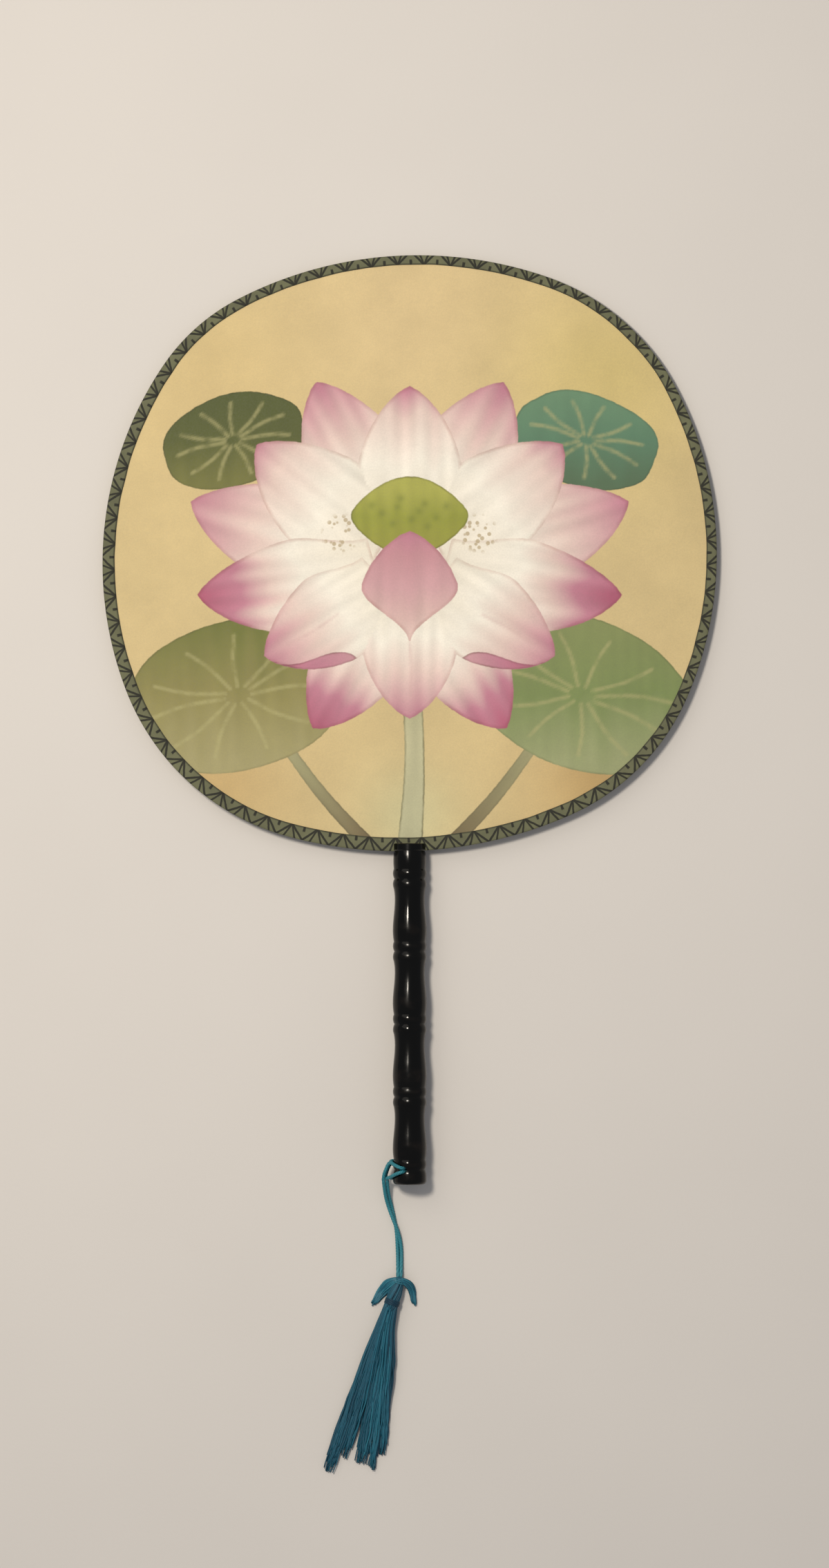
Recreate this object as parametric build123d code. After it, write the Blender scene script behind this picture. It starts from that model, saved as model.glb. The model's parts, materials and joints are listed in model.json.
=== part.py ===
from build123d import *
import os
from math import atan, atan2, cos, degrees, hypot, radians, sin, sqrt, tan

# Round painted-silk hand fan with a jointed black handle, a looped cord and a yarn tassel.
#
# The fan itself is drawn in a flat frame of its own: X across the face, Y along the handle with
# y = 0 at the butt end, Z the normal of the painted face, z = 0 the middle plane of the hoop.
# At the end it is laid down on the floor (z = 0), resting on its rim and on one ring of the
# handle. The cord and the tassel lie on that floor and are drawn there directly.
# All sizes are in millimetres.

# ---------------------------------------------------------------- face outline
FACE_WIDTH = 250.5            # outside the ribbon, across
FACE_HEIGHT = 243.3           # outside the ribbon, along the handle
# Bends of the hand-bent hoop, as shares of its mean half size: the larger a side's number, the
# flatter that side, and the larger a corner's number, the rounder that corner.
SIDE_LEFT = 1.170
SIDE_RIGHT = 1.190
SIDE_BOTTOM = 1.405
SIDE_TOP = 1.296
CORNER_UPPER_RIGHT = 0.757
CORNER_UPPER_LEFT = 0.668
CORNER_LOWER_LEFT = 0.798
CORNER_LOWER_RIGHT = 0.753
LEFT_SIDE_DROP = 4.2          # the hoop's extremes are a little off its axes
RIGHT_SIDE_DROP = 0.5
BOTTOM_SHIFT = -4.5
TOP_SHIFT = 3.5

# ---------------------------------------------------------------- hoop, silk, ribbon
WIRE_DIAMETER = 1.8
WIRE_EDGE_GAP = 0.1           # wire to the inside of the ribbon's fold
LEG_GAP = 0.2                 # between the two wire legs inside the handle
LEG_LENGTH = 24.0             # from the bottom of the handle's slot
LEG_BEND_RADIUS = 2.0
SILK_THICKNESS = 0.2
SILK_EDGE_GAP = 0.1           # silk edge to the inside of the ribbon's fold
GLUE_LINE = 0.02
RIBBON_THICKNESS = 0.35
RIBBON_FOLD_RADIUS = 0.5
FLAP_LEFT = 5.0               # how far the ribbon laps over the silk on each side of the face
FLAP_RIGHT = 4.2
FLAP_BOTTOM = 5.6
FLAP_TOP = 3.9

# ---------------------------------------------------------------- handle
HANDLE_LENGTH = 138.9
RIM_ENGAGEMENT = 3.2          # how deep the rim sits in the handle's top slot
SLOT_CLEARANCE = 0.06         # either side of the rim
SLOT_FLOOR_GAP = 0.3
BORE_CLEARANCE = 0.1          # around the pair of wire legs
BORE_END_GAP = 2.0
HANDLE_RADIUS = 6.85          # over the ridges
NODE_COUNT = 5                # turned bamboo nodes along the handle
FIRST_NODE = 6.1              # from the butt end
LAST_NODE = 14.4              # from the top end
NODE_GROOVE_DEPTH = 0.55      # all depths are below the ridges
SIDE_GROOVE_DEPTH = 0.37
WAIST_DEPTH = 0.7
FLARE_RISE = 0.05             # the widest place of a joint, above the ridges
RIDGE_WIDTH = 4.0             # each of the two ridges beside a node groove
RIDGE_CREST = 0.55            # place of a ridge's crest, as a share of its width
FLARE_SHARE = 0.23            # places along a joint between two nodes, from its butt end
WAIST_SHARE = 0.69
COLLAR_DEPTH = 0.23
COLLAR_WIDTH = 2.9
COLLAR_GROOVE_DEPTH = 0.5
COLLAR_CHAMFER = 0.3
NECK_DEPTH = 0.19             # between the last node and the collar
BUTT_ROUNDING = 1.7
CORD_HOLE_CLEARANCE = 0.125   # around the two strands
CORD_HOLE_LEAN = 24.0         # degrees from the face's normal, front mouth to the left

# ---------------------------------------------------------------- cord
STRAND_DIAMETER = 1.35
STRAND_GAP = 0.05             # between the two strands inside the hole
HITCH_CLEARANCE = 0.05        # hitch rings to the handle's ridges
HITCH_FOLD_RADIUS = 1.5
HITCH_SPREAD = 20.0           # degrees that each ring leans away from the other

# Where the doubled cord leaves the hitch: out from the handle's left side and up from the butt.
SWING_OUT = 3.15
SWING_UP = 3.2

# Routes of the two strands on the floor, from the hitch to the tassel: x and y measured from
# the swing point, z above the floor. The left strand crosses over the right one on its way.
LEFT_STRAND = [
    (-0.70, -1.2, 7.9),
    (-0.15, -7.0, 4.9),
    (1.20, -12.3, 2.2),
    (3.05, -17.3, 2.4),
    (5.10, -22.3, 2.3),
    (6.45, -27.7, 1.1),
    (6.75, -33.9, 0.8),
    (6.50, -40.9, 1.9),
]
RIGHT_STRAND = [
    (0.80, -1.2, 7.5),
    (1.15, -6.7, 3.9),
    (2.50, -12.0, 0.9),
    (3.75, -17.5, 0.75),
    (4.65, -22.7, 0.72),
    (4.95, -28.1, 0.75),
    (5.20, -34.4, 0.8),
    (5.02, -40.9, 1.9),
]

# ---------------------------------------------------------------- tassel
HEAD_PIVOT = (5.75, -43.2)    # from the swing point to the middle of the head's round top
HEAD_TOP_RADIUS = 2.0
HEAD_RADIUS = 2.75
HEAD_LENGTH = 11.6            # from the pivot to the open end
TASSEL_LEAN = 19.0            # degrees, the head points this far left of straight down
WRAP_THICKNESS = 0.5
WRAP_WIDTH = 2.4
WRAP_START = 7.6              # from the pivot along the head
FLOOR_GAP = 0.05              # under the wrap, the tails and the locks
TAIL_THICKNESS = 1.6
TAIL_ROOT_WIDTH = 2.9
TAIL_WIDTH = 3.6
TAIL_TIP_WIDTH = 1.6

# Middle lines of the two tails of the tie, from the pivot.
LEFT_TAIL = [(-2.6, -1.4), (-6.6, -3.4), (-9.9, -8.2)]
RIGHT_TAIL = [(1.9, -1.6), (5.0, -3.6), (5.75, -8.6)]

# Yarn locks of the skirt, left to right: tip from the pivot, and the lock's width near its tip.
# They start side by side across the open end of the head.
LOCKS = {
    "outer_left": ((-28.2, -75.0), 3.2),
    "inner_left": ((-22.4, -69.5), 2.8),
    "middle": ((-15.6, -71.8), 3.6),
    "inner_right": ((-11.0, -74.3), 2.2),
    "outer_right": ((-6.9, -68.4), 2.2),
}
LOCK_WAIST = 0.75             # width halfway down, as a share of the width near the tip
LOCK_HEIGHT = 4.6
LOCK_TIP_HEIGHT = 1.8
LOCK_GAP = 0.15

WIRE_RADIUS = WIRE_DIAMETER / 2
LEG_X = (WIRE_DIAMETER + LEG_GAP) / 2
LEG_BORE_RADIUS = LEG_X + WIRE_RADIUS + BORE_CLEARANCE
SILK_INNER_Z = WIRE_RADIUS + GLUE_LINE
POCKET_HALF = SILK_INNER_Z + SILK_THICKNESS + GLUE_LINE
RIM_HALF = POCKET_HALF + RIBBON_THICKNESS
FACE_Y = HANDLE_LENGTH - RIM_ENGAGEMENT + FACE_HEIGHT / 2
MEAN_HALF = (FACE_WIDTH + FACE_HEIGHT) / 4
SLOT_FLOOR_Y = HANDLE_LENGTH - RIM_ENGAGEMENT - SLOT_FLOOR_GAP
NODE_PITCH = (HANDLE_LENGTH - FIRST_NODE - LAST_NODE) / (NODE_COUNT - 1)
CREST = RIDGE_CREST * RIDGE_WIDTH
STRAND_RADIUS = STRAND_DIAMETER / 2
STRAND_PITCH = STRAND_DIAMETER + STRAND_GAP
CORD_HOLE_RADIUS = STRAND_PITCH / 2 + STRAND_RADIUS + CORD_HOLE_CLEARANCE


# ---------------------------------------------------------------- outline of the face
def corner_circle(side, end, radius, across, along):
    """Centre of the circle of the given radius that touches two circles from inside.

    side and end are (x, y, radius). across and along are the signs of the wanted corner.
    """
    gap = hypot(end[0] - side[0], end[1] - side[1])
    reach_side = side[2] - radius
    reach_end = end[2] - radius
    along_line = (reach_side**2 - reach_end**2 + gap**2) / (2 * gap)
    off_line = sqrt(reach_side**2 - along_line**2)
    ux = (end[0] - side[0]) / gap
    uy = (end[1] - side[1]) / gap
    middle = (side[0] + ux * along_line, side[1] + uy * along_line)
    choices = [
        (middle[0] - uy * off_line, middle[1] + ux * off_line),
        (middle[0] + uy * off_line, middle[1] - ux * off_line),
    ]
    return max(choices, key=lambda c: c[0] * across + (c[1] - FACE_Y) * along)


def outline_arcs(left, right, bottom, top):
    """The face's outline moved inwards by these amounts, as eight tangent arcs.

    They run counter-clockwise from the bottom: (centre x, centre y, radius, start, end) with
    the angles in degrees.
    """
    sides = {
        "east": (FACE_WIDTH / 2, -RIGHT_SIDE_DROP, -1, 0, SIDE_RIGHT, right),
        "north": (TOP_SHIFT, FACE_HEIGHT / 2, 0, -1, SIDE_TOP, top),
        "west": (-FACE_WIDTH / 2, -LEFT_SIDE_DROP, 1, 0, SIDE_LEFT, left),
        "south": (BOTTOM_SHIFT, -FACE_HEIGHT / 2, 0, 1, SIDE_BOTTOM, bottom),
    }
    east, north, west, south = [
        (x + inx * share * MEAN_HALF, FACE_Y + y + iny * share * MEAN_HALF, share * MEAN_HALF - inset)
        for x, y, inx, iny, share, inset in sides.values()
    ]
    corners = [
        (south, east, CORNER_LOWER_RIGHT, (bottom + right) / 2, 1, -1),
        (east, north, CORNER_UPPER_RIGHT, (right + top) / 2, 1, 1),
        (north, west, CORNER_UPPER_LEFT, (top + left) / 2, -1, 1),
        (west, south, CORNER_LOWER_LEFT, (left + bottom) / 2, -1, -1),
    ]
    circles = []
    for first, second, share, inset, across, along in corners:
        radius = share * MEAN_HALF - inset
        centre = corner_circle(first, second, radius, across, along)
        circles.append(first)
        circles.append((centre[0], centre[1], radius))
    joints = []
    for one, other in zip(circles, circles[1:] + circles[:1]):
        big, small = (one, other) if one[2] > other[2] else (other, one)
        joints.append(degrees(atan2(small[1] - big[1], small[0] - big[0])))
    arcs = []
    for circle, start, end in zip(circles, joints[-1:] + joints[:-1], joints):
        arcs.append((*circle, start, start + (end - start) % 360))
    return arcs


def arc_edge(x, y, radius, start, end):
    return CenterArc((x, y), radius, start, end - start)


def outline_face(left, right, bottom, top):
    edges = [arc_edge(*arc) for arc in outline_arcs(left, right, bottom, top)]
    return make_face(Wire(edges))


def slab(face, low, high):
    """The face, drawn at z = 0, filled from low to high."""
    return extrude(Pos(0, 0, low) * face, high - low, dir=(0, 0, 1))


# ---------------------------------------------------------------- hoop and covering
def hoop_wire():
    """The wire ring, its two ends bent down side by side into the handle."""
    inset = RIBBON_THICKNESS + WIRE_EDGE_GAP + WIRE_RADIUS
    arcs = outline_arcs(inset, inset, inset, inset)
    x, y, radius, start, end = arcs[0]
    leg_end_y = SLOT_FLOOR_Y - LEG_LENGTH
    bends = []
    for side in (-1, 1):
        bend_x = side * (LEG_X + LEG_BEND_RADIUS)
        bend_y = y - sqrt((radius + LEG_BEND_RADIUS) ** 2 - (bend_x - x) ** 2)
        meets = degrees(atan2(bend_y - y, bend_x - x))
        bends.append((bend_x, bend_y, meets))
    (left_x, left_y, left_meets), (right_x, right_y, right_meets) = bends
    edges = [
        Line((LEG_X, leg_end_y), (LEG_X, right_y)),
        arc_edge(right_x, right_y, LEG_BEND_RADIUS, 180, right_meets + 180),
        arc_edge(x, y, radius, right_meets, end),
        *[arc_edge(*arc) for arc in arcs[1:]],
        arc_edge(x, y, radius, start, start + (left_meets - start) % 360),
        arc_edge(left_x, left_y, LEG_BEND_RADIUS, left_meets + 180, 0),
        Line((-LEG_X, left_y), (-LEG_X, leg_end_y)),
    ]
    path = Wire(edges)
    section = Plane(origin=(LEG_X, leg_end_y, 0), z_dir=(0, 1, 0)) * Circle(WIRE_RADIUS)
    return sweep(section, path=path)


def silk_sheet(side):
    """One stretched sheet: side is 1 for the painted front, -1 for the plain back."""
    inset = RIBBON_THICKNESS + SILK_EDGE_GAP
    sheet = slab(outline_face(inset, inset, inset, inset), SILK_INNER_Z, SILK_INNER_Z + SILK_THICKNESS)
    return sheet if side > 0 else mirror(sheet, Plane.XY)


def edge_ribbon():
    """The strip folded over the rim, with a slit where the wire legs leave."""
    body = slab(outline_face(0, 0, 0, 0), -RIM_HALF, RIM_HALF)
    folds = body.faces().filter_by(Axis.Z).edges()
    body = fillet(folds, RIBBON_FOLD_RADIUS)
    window = outline_face(FLAP_LEFT, FLAP_RIGHT, FLAP_BOTTOM, FLAP_TOP)
    body -= slab(window, -RIM_HALF, RIM_HALF)
    wall = RIBBON_THICKNESS
    body -= slab(outline_face(wall, wall, wall, wall), -POCKET_HALF, POCKET_HALF)
    rim_bottom = HANDLE_LENGTH - RIM_ENGAGEMENT
    slit = Box(2 * (LEG_X + LEG_BEND_RADIUS), 2 * LEG_BEND_RADIUS, 2 * SILK_INNER_Z)
    return body - Pos(0, rim_bottom, 0) * slit


# ---------------------------------------------------------------- handle
def turned_joint(node):
    """Half outline of the handle from one node groove up to the next, in the XY plane."""
    groove = HANDLE_RADIUS - NODE_GROOVE_DEPTH
    side_groove = HANDLE_RADIUS - SIDE_GROOVE_DEPTH
    start = node + RIDGE_WIDTH
    length = NODE_PITCH - 2 * RIDGE_WIDTH
    above = node + NODE_PITCH
    return [
        upper_ridge(node),
        Spline(
            (side_groove, start),
            (HANDLE_RADIUS + FLARE_RISE, start + FLARE_SHARE * length),
            (HANDLE_RADIUS - WAIST_DEPTH, start + WAIST_SHARE * length),
            (side_groove, start + length),
        ),
        ThreePointArc((side_groove, start + length), (HANDLE_RADIUS, above - CREST), (groove, above)),
    ]


def upper_ridge(node):
    """The ridge on the far side of a node groove, seen from the butt."""
    groove = HANDLE_RADIUS - NODE_GROOVE_DEPTH
    side_groove = HANDLE_RADIUS - SIDE_GROOVE_DEPTH
    return ThreePointArc((groove, node), (HANDLE_RADIUS, node + CREST), (side_groove, node + RIDGE_WIDTH))


def handle_profile():
    """Half outline of the turned handle in the XY plane, from the butt to the top."""
    last_node = HANDLE_LENGTH - LAST_NODE
    end_flat = HANDLE_RADIUS - BUTT_ROUNDING
    diagonal = BUTT_ROUNDING * (1 - cos(radians(45)))
    neck_start = last_node + RIDGE_WIDTH
    collar_start = HANDLE_LENGTH - COLLAR_WIDTH
    collar = HANDLE_RADIUS - COLLAR_DEPTH
    collar_groove = HANDLE_RADIUS - COLLAR_GROOVE_DEPTH
    lines = [
        Line((0, 0), (end_flat, 0)),
        ThreePointArc((end_flat, 0), (HANDLE_RADIUS - diagonal, diagonal), (HANDLE_RADIUS, BUTT_ROUNDING)),
        Spline(
            (HANDLE_RADIUS, BUTT_ROUNDING),
            (HANDLE_RADIUS, FIRST_NODE - CREST),
            (HANDLE_RADIUS - NODE_GROOVE_DEPTH, FIRST_NODE),
            tangents=((0, 1), (-0.6, 1)),
        ),
    ]
    for index in range(NODE_COUNT - 1):
        lines += turned_joint(FIRST_NODE + index * NODE_PITCH)
    lines += [
        upper_ridge(last_node),
        ThreePointArc(
            (HANDLE_RADIUS - SIDE_GROOVE_DEPTH, neck_start),
            (HANDLE_RADIUS - NECK_DEPTH, (neck_start + collar_start) / 2),
            (collar_groove, collar_start),
        ),
        *Polyline(
            (collar_groove, collar_start),
            (collar, collar_start + COLLAR_CHAMFER),
            (collar, HANDLE_LENGTH - COLLAR_CHAMFER),
            (collar - COLLAR_CHAMFER, HANDLE_LENGTH),
            (0, HANDLE_LENGTH),
            (0, 0),
        ).edges(),
    ]
    return make_face(Wire(lines))


def handle():
    """The turned handle with its rim slot, the bore for the wire legs and the cord hole."""
    body = revolve(handle_profile(), Axis.Y, 360)
    through = 3 * HANDLE_RADIUS
    slot_height = HANDLE_LENGTH - SLOT_FLOOR_Y
    slot = Box(through, slot_height, 2 * (RIM_HALF + SLOT_CLEARANCE))
    body -= Pos(0, SLOT_FLOOR_Y + slot_height / 2, 0) * slot
    bore_length = LEG_LENGTH + BORE_END_GAP
    bore = Rot(90, 0, 0) * Cylinder(LEG_BORE_RADIUS, bore_length)
    body -= Pos(0, SLOT_FLOOR_Y - bore_length / 2, 0) * bore
    hole = Rot(0, -CORD_HOLE_LEAN, 0) * Cylinder(CORD_HOLE_RADIUS, through)
    return body - Pos(0, FIRST_NODE, 0) * hole


def hitch_ring(side):
    """One strand of the hitch: through the cord hole and back round the left of the handle.

    side is 1 for the upper ring and -1 for the lower. Each is a closed ring whose plane holds
    the hole's axis and leans away from the other ring.
    """
    outer = (HANDLE_RADIUS + HITCH_CLEARANCE + STRAND_RADIUS) / cos(radians(HITCH_SPREAD))
    fold = HITCH_FOLD_RADIUS
    straight = sqrt((outer - fold) ** 2 - fold**2)
    meets = degrees(atan2(straight, fold))
    path = Wire(
        [
            Line((0, -straight), (0, straight)),
            CenterArc((fold, straight), fold, 180, meets - 180),
            CenterArc((0, 0), outer, meets, -2 * meets),
            CenterArc((fold, -straight), fold, -meets, meets - 180),
        ]
    )
    section = Plane(origin=(0, 0, 0), z_dir=(0, 1, 0)) * Circle(STRAND_RADIUS)
    ring = sweep(section, path=path)
    # Local X points left and local Y along the hole; lean turns the ring about the hole's axis.
    lean = radians(CORD_HOLE_LEAN)
    spread = radians(HITCH_SPREAD) * side
    along = Vector(-sin(lean), 0, cos(lean))
    left = Vector(-cos(lean) * cos(spread), sin(spread), -sin(lean) * cos(spread))
    place = Plane(
        origin=(0, FIRST_NODE + side * STRAND_PITCH / 2, 0),
        x_dir=left,
        z_dir=left.cross(along),
    )
    return place.location * ring


# ---------------------------------------------------------------- laying the fan on the floor
def rest_place(rim, grip):
    """Location that lays the flat-drawn fan on the floor, centred on its own box."""
    ring_y = HANDLE_LENGTH - LAST_NODE + CREST
    tilt = degrees(atan((HANDLE_RADIUS - RIM_HALF) / (FACE_Y + FACE_HEIGHT / 2 - ring_y)))
    turned = Compound([Rot(-tilt, 0, 0) * rim, Rot(-tilt, 0, 0) * grip]).bounding_box()
    middle_x = (turned.min.X + turned.max.X) / 2
    middle_y = (turned.min.Y + turned.max.Y) / 2
    print("rest tilt %.4f deg, moved by %.4f %.4f %.4f" % (tilt, -middle_x, -middle_y, -turned.min.Z))
    return Pos(-middle_x, -middle_y, -turned.min.Z) * Rot(-tilt, 0, 0)


# ---------------------------------------------------------------- cord and tassel on the floor
def strand(route, base):
    """A plain tube along straight runs joined by tangent arcs."""
    points = [Vector(x + base[0], y + base[1], z) for x, y, z in route]
    radii = []
    for before, here, after in zip(points, points[1:], points[2:]):
        into = here - before
        out = after - here
        turn = radians(into.get_angle(out))
        radii.append(0.45 * min(into.length, out.length) / tan(turn / 2))
    path = FilletPolyline(*points, radius=radii)
    print("strand radii", ["%.1f" % value for value in radii], "length %.2f" % path.length)
    section = Plane(origin=path @ 0, z_dir=path % 0) * Circle(STRAND_RADIUS)
    tube = sweep(section, path=path)
    print("strand volume %.2f, section times length %.2f" % (tube.volume, section.area * path.length))
    return tube


def tassel_axis(pivot):
    """Plane at the pivot whose X runs along the tassel's head and whose Z points up."""
    lean = radians(TASSEL_LEAN)
    height = HEAD_RADIUS + WRAP_THICKNESS + FLOOR_GAP
    along = (-sin(lean), -cos(lean), 0)
    return Plane(origin=(pivot[0], pivot[1], height), x_dir=along, z_dir=(0, 0, 1))


def tassel_head(pivot):
    """The yarn folded over the cord: a round top swelling to the tied neck."""
    middle = HEAD_LENGTH * 0.5
    top = HEAD_TOP_RADIUS
    lines = [
        CenterArc((0, 0), top, 180, -90),
        Spline((0, top), (middle, HEAD_RADIUS), tangents=((1, 0), (1, 0))),
        Line((middle, HEAD_RADIUS), (HEAD_LENGTH, HEAD_RADIUS)),
        Line((HEAD_LENGTH, HEAD_RADIUS), (HEAD_LENGTH, 0)),
        Line((HEAD_LENGTH, 0), (-top, 0)),
    ]
    return tassel_axis(pivot).location * revolve(make_face(Wire(lines)), Axis.X, 360)


def neck_wrap(pivot):
    """The thread wound round the neck, as one plain band."""
    band = Cylinder(HEAD_RADIUS + WRAP_THICKNESS, WRAP_WIDTH)
    band -= Cylinder(HEAD_RADIUS + GLUE_LINE, WRAP_WIDTH)
    middle = WRAP_START + WRAP_WIDTH / 2
    return tassel_axis(pivot).location * Pos(middle, 0, 0) * Rot(0, 90, 0) * band


def wrap_tail(line, pivot):
    """One flat tail of the tie, tapering along a bent middle line of three points."""
    root, bend, tip = [Vector(x, y, 0) for x, y in line]
    stations = [
        (root, bend - root, TAIL_ROOT_WIDTH),
        (bend, tip - root, TAIL_WIDTH),
        (tip, tip - bend, TAIL_TIP_WIDTH),
    ]
    left = []
    right = []
    for middle, way, width in stations:
        across = way.normalized().rotate(Axis.Z, 90) * (width / 2)
        left.append(middle + across)
        right.append(middle - across)
    outline = [
        ThreePointArc(left[0], left[1], left[2]),
        Line(left[2], right[2]),
        ThreePointArc(right[2], right[1], right[0]),
        Line(right[0], left[0]),
    ]
    flat = Pos(pivot[0], pivot[1], 0) * make_face(Wire(outline))
    return slab(flat, FLOOR_GAP, FLOOR_GAP + TAIL_THICKNESS)


def skirt_lock(index, tip, tip_width, pivot):
    """One lock of yarn, lofted through ellipses from the neck to its loose tip."""
    axis = tassel_axis(pivot)
    slot = 2 * HEAD_RADIUS / len(LOCKS)
    start = axis.origin + axis.x_dir * (HEAD_LENGTH + LOCK_GAP)
    start += axis.y_dir * ((index - (len(LOCKS) - 1) / 2) * slot)
    flat_way = Vector(pivot[0] + tip[0] - start.X, pivot[1] + tip[1] - start.Y, 0)
    sections = [
        (0.0, slot - LOCK_GAP, LOCK_HEIGHT),
        (0.55, tip_width * LOCK_WAIST, LOCK_HEIGHT * 0.72),
        (0.9, tip_width, LOCK_TIP_HEIGHT),
        (1.0, tip_width * 0.4, LOCK_TIP_HEIGHT),
    ]
    faces = []
    for share, width, height in sections:
        middle = Vector(start.X, start.Y, 0) + flat_way * share
        level = start.Z if share == 0 else height / 2 + FLOOR_GAP
        plane = Plane(origin=(middle.X, middle.Y, level), x_dir=(flat_way.Y, -flat_way.X, 0), z_dir=flat_way)
        faces.append(plane * Ellipse(width / 2, height / 2))
    return loft(faces, ruled=True)


# ---------------------------------------------------------------- build and write
os.makedirs("parts", exist_ok=True)

flat_pieces = {
    "hoop_wire": hoop_wire(),
    "front_silk": silk_sheet(1),
    "back_silk": silk_sheet(-1),
    "edge_ribbon": edge_ribbon(),
    "handle": handle(),
    "cord_hitch_upper": hitch_ring(1),
    "cord_hitch_lower": hitch_ring(-1),
}
laid = rest_place(flat_pieces["edge_ribbon"], flat_pieces["handle"])
pieces = {name: laid * piece for name, piece in flat_pieces.items()}

butt = (laid * Pos(0, 0, 0)).position
print("butt centre %.4f %.4f %.4f" % (butt.X, butt.Y, butt.Z))
swing = (butt.X - HANDLE_RADIUS - SWING_OUT, butt.Y + SWING_UP)
head = (swing[0] + HEAD_PIVOT[0], swing[1] + HEAD_PIVOT[1])
print("cord swings about %.4f %.4f, tassel about %.4f %.4f" % (*swing, *head))

pieces["cord_strand_left"] = strand(LEFT_STRAND, swing)
pieces["cord_strand_right"] = strand(RIGHT_STRAND, swing)
pieces["tassel_head"] = tassel_head(head)
pieces["neck_wrap"] = neck_wrap(head)
pieces["wrap_tail_left"] = wrap_tail(LEFT_TAIL, head)
pieces["wrap_tail_right"] = wrap_tail(RIGHT_TAIL, head)
for number, (name, (tip, width)) in enumerate(LOCKS.items()):
    pieces["skirt_lock_" + name] = skirt_lock(number, tip, width, head)

for name, piece in pieces.items():
    export_step(piece, "parts/%s.step" % name)
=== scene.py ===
"""Round painted-silk hand fan: jointed black handle, looped cord and yarn tassel, lying on a floor.

Sizes in the data classes are in millimetres; everything put into Blender is in metres, in the
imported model's frame. The fan's own pieces are worked out in its flat frame (X across the face,
Y from the butt of the handle to the top of the rim, Z out of the painted side) and then laid
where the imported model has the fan.
"""
import json
import logging
from dataclasses import dataclass, field
from enum import Enum

import bpy
import numpy as np
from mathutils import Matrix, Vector


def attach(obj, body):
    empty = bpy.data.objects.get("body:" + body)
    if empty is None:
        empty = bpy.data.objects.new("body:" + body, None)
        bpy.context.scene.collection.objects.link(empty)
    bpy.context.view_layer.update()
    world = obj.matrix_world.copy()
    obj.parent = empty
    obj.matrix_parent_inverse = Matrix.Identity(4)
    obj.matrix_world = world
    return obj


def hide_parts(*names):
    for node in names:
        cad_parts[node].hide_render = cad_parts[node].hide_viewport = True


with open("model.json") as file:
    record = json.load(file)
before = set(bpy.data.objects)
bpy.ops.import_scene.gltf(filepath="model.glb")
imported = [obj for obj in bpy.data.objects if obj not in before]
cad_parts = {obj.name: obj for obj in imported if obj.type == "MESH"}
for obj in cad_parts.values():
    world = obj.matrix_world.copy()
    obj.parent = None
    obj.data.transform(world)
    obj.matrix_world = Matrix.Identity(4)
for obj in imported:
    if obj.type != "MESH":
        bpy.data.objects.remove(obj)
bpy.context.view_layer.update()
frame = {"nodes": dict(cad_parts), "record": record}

log = logging.getLogger("hand_fan")
MM = 0.001
Array = np.ndarray
Pair = tuple[float, float]
Triple = tuple[float, float, float]
Colour = tuple[int, int, int]


class Body(str, Enum):
    """The bodies that move against each other."""

    FAN = "fan"
    CORD = "cord"
    TASSEL = "tassel"


class Slot(str, Enum):
    """Names of the record's material slots; nothing in this script reads them."""

    FRONT = "front_silk"
    BACK = "back_silk"
    RIBBON = "ribbon"
    CORD = "cord"
    YARN = "yarn"


# ------------------------------------------------------------------ numbers and arrays
def linear(colour: Colour) -> Array:
    """Turn an sRGB colour of 0 to 255 into linear light: the standard curve with its short toe."""
    c = np.asarray(colour, float) / 255.0
    return np.where(c <= 0.04045, c / 12.92, ((c + 0.055) / 1.055) ** 2.4)


def rgba(colour: Colour) -> tuple[float, float, float, float]:
    """The colour as the four linear numbers that a socket takes."""
    return (*linear(colour).tolist(), 1.0)


def smooth_step(low: float, high: float, value: Array) -> Array:
    """Rise from 0 at low to 1 at high along 3t squared less 2t cubed."""
    t = np.clip((value - low) / (high - low), 0.0, 1.0)
    return t * t * (3.0 - 2.0 * t)


def unit(vectors: Array) -> Array:
    """Each vector divided by its own length."""
    return vectors / np.linalg.norm(vectors, axis=-1, keepdims=True)


def ripple(across: Array, along: Array, seed: int, waves: int = 7) -> Array:
    """Soft seeded streaks between about -1 and 1.

    The sum of sines of the first coordinate, each bent a little by a slower sine of the second,
    divided by the square root of their number.

    Args:
        across: the coordinate in which the streaks change quickly, in radians at unit frequency.
        along: the coordinate that they follow.
        seed: chooses the frequencies and phases.
        waves: how many sines are added.

    Returns:
        An array of the coordinates' shape.
    """
    rng = np.random.default_rng(seed)
    fast = rng.uniform(0.5, 2.6, waves)
    slow = rng.uniform(0.4, 1.3, waves)
    phase = rng.uniform(0.0, 2.0 * np.pi, (2, waves))
    bend = np.sin(along[..., None] * slow + phase[1])
    total = np.sin(across[..., None] * fast + phase[0] + 1.4 * bend).sum(-1)
    return total / np.sqrt(waves) / 1.4


def curve_through(points: Array, steps: int = 6) -> Array:
    """A smooth open line through the points: a Catmull-Rom spline with its ends mirrored outwards.

    Args:
        points: (n, 2) or (n, 3) places.
        steps: samples on each stretch between two points.

    Returns:
        The sampled line, its last point left out.
    """
    p = np.vstack([2 * points[:1] - points[1:2], points, 2 * points[-1:] - points[-2:-1]])
    a, b, c, d = (p[i : len(p) - 3 + i, None, :] for i in range(4))
    t = np.linspace(0.0, 1.0, steps, endpoint=False)[None, :, None]
    line = 0.5 * (2 * b + (c - a) * t + (2 * a - 5 * b + 4 * c - d) * t**2 + (3 * b - a - 3 * c + d)
        * t**3)
    return line.reshape(-1, points.shape[1])


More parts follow.
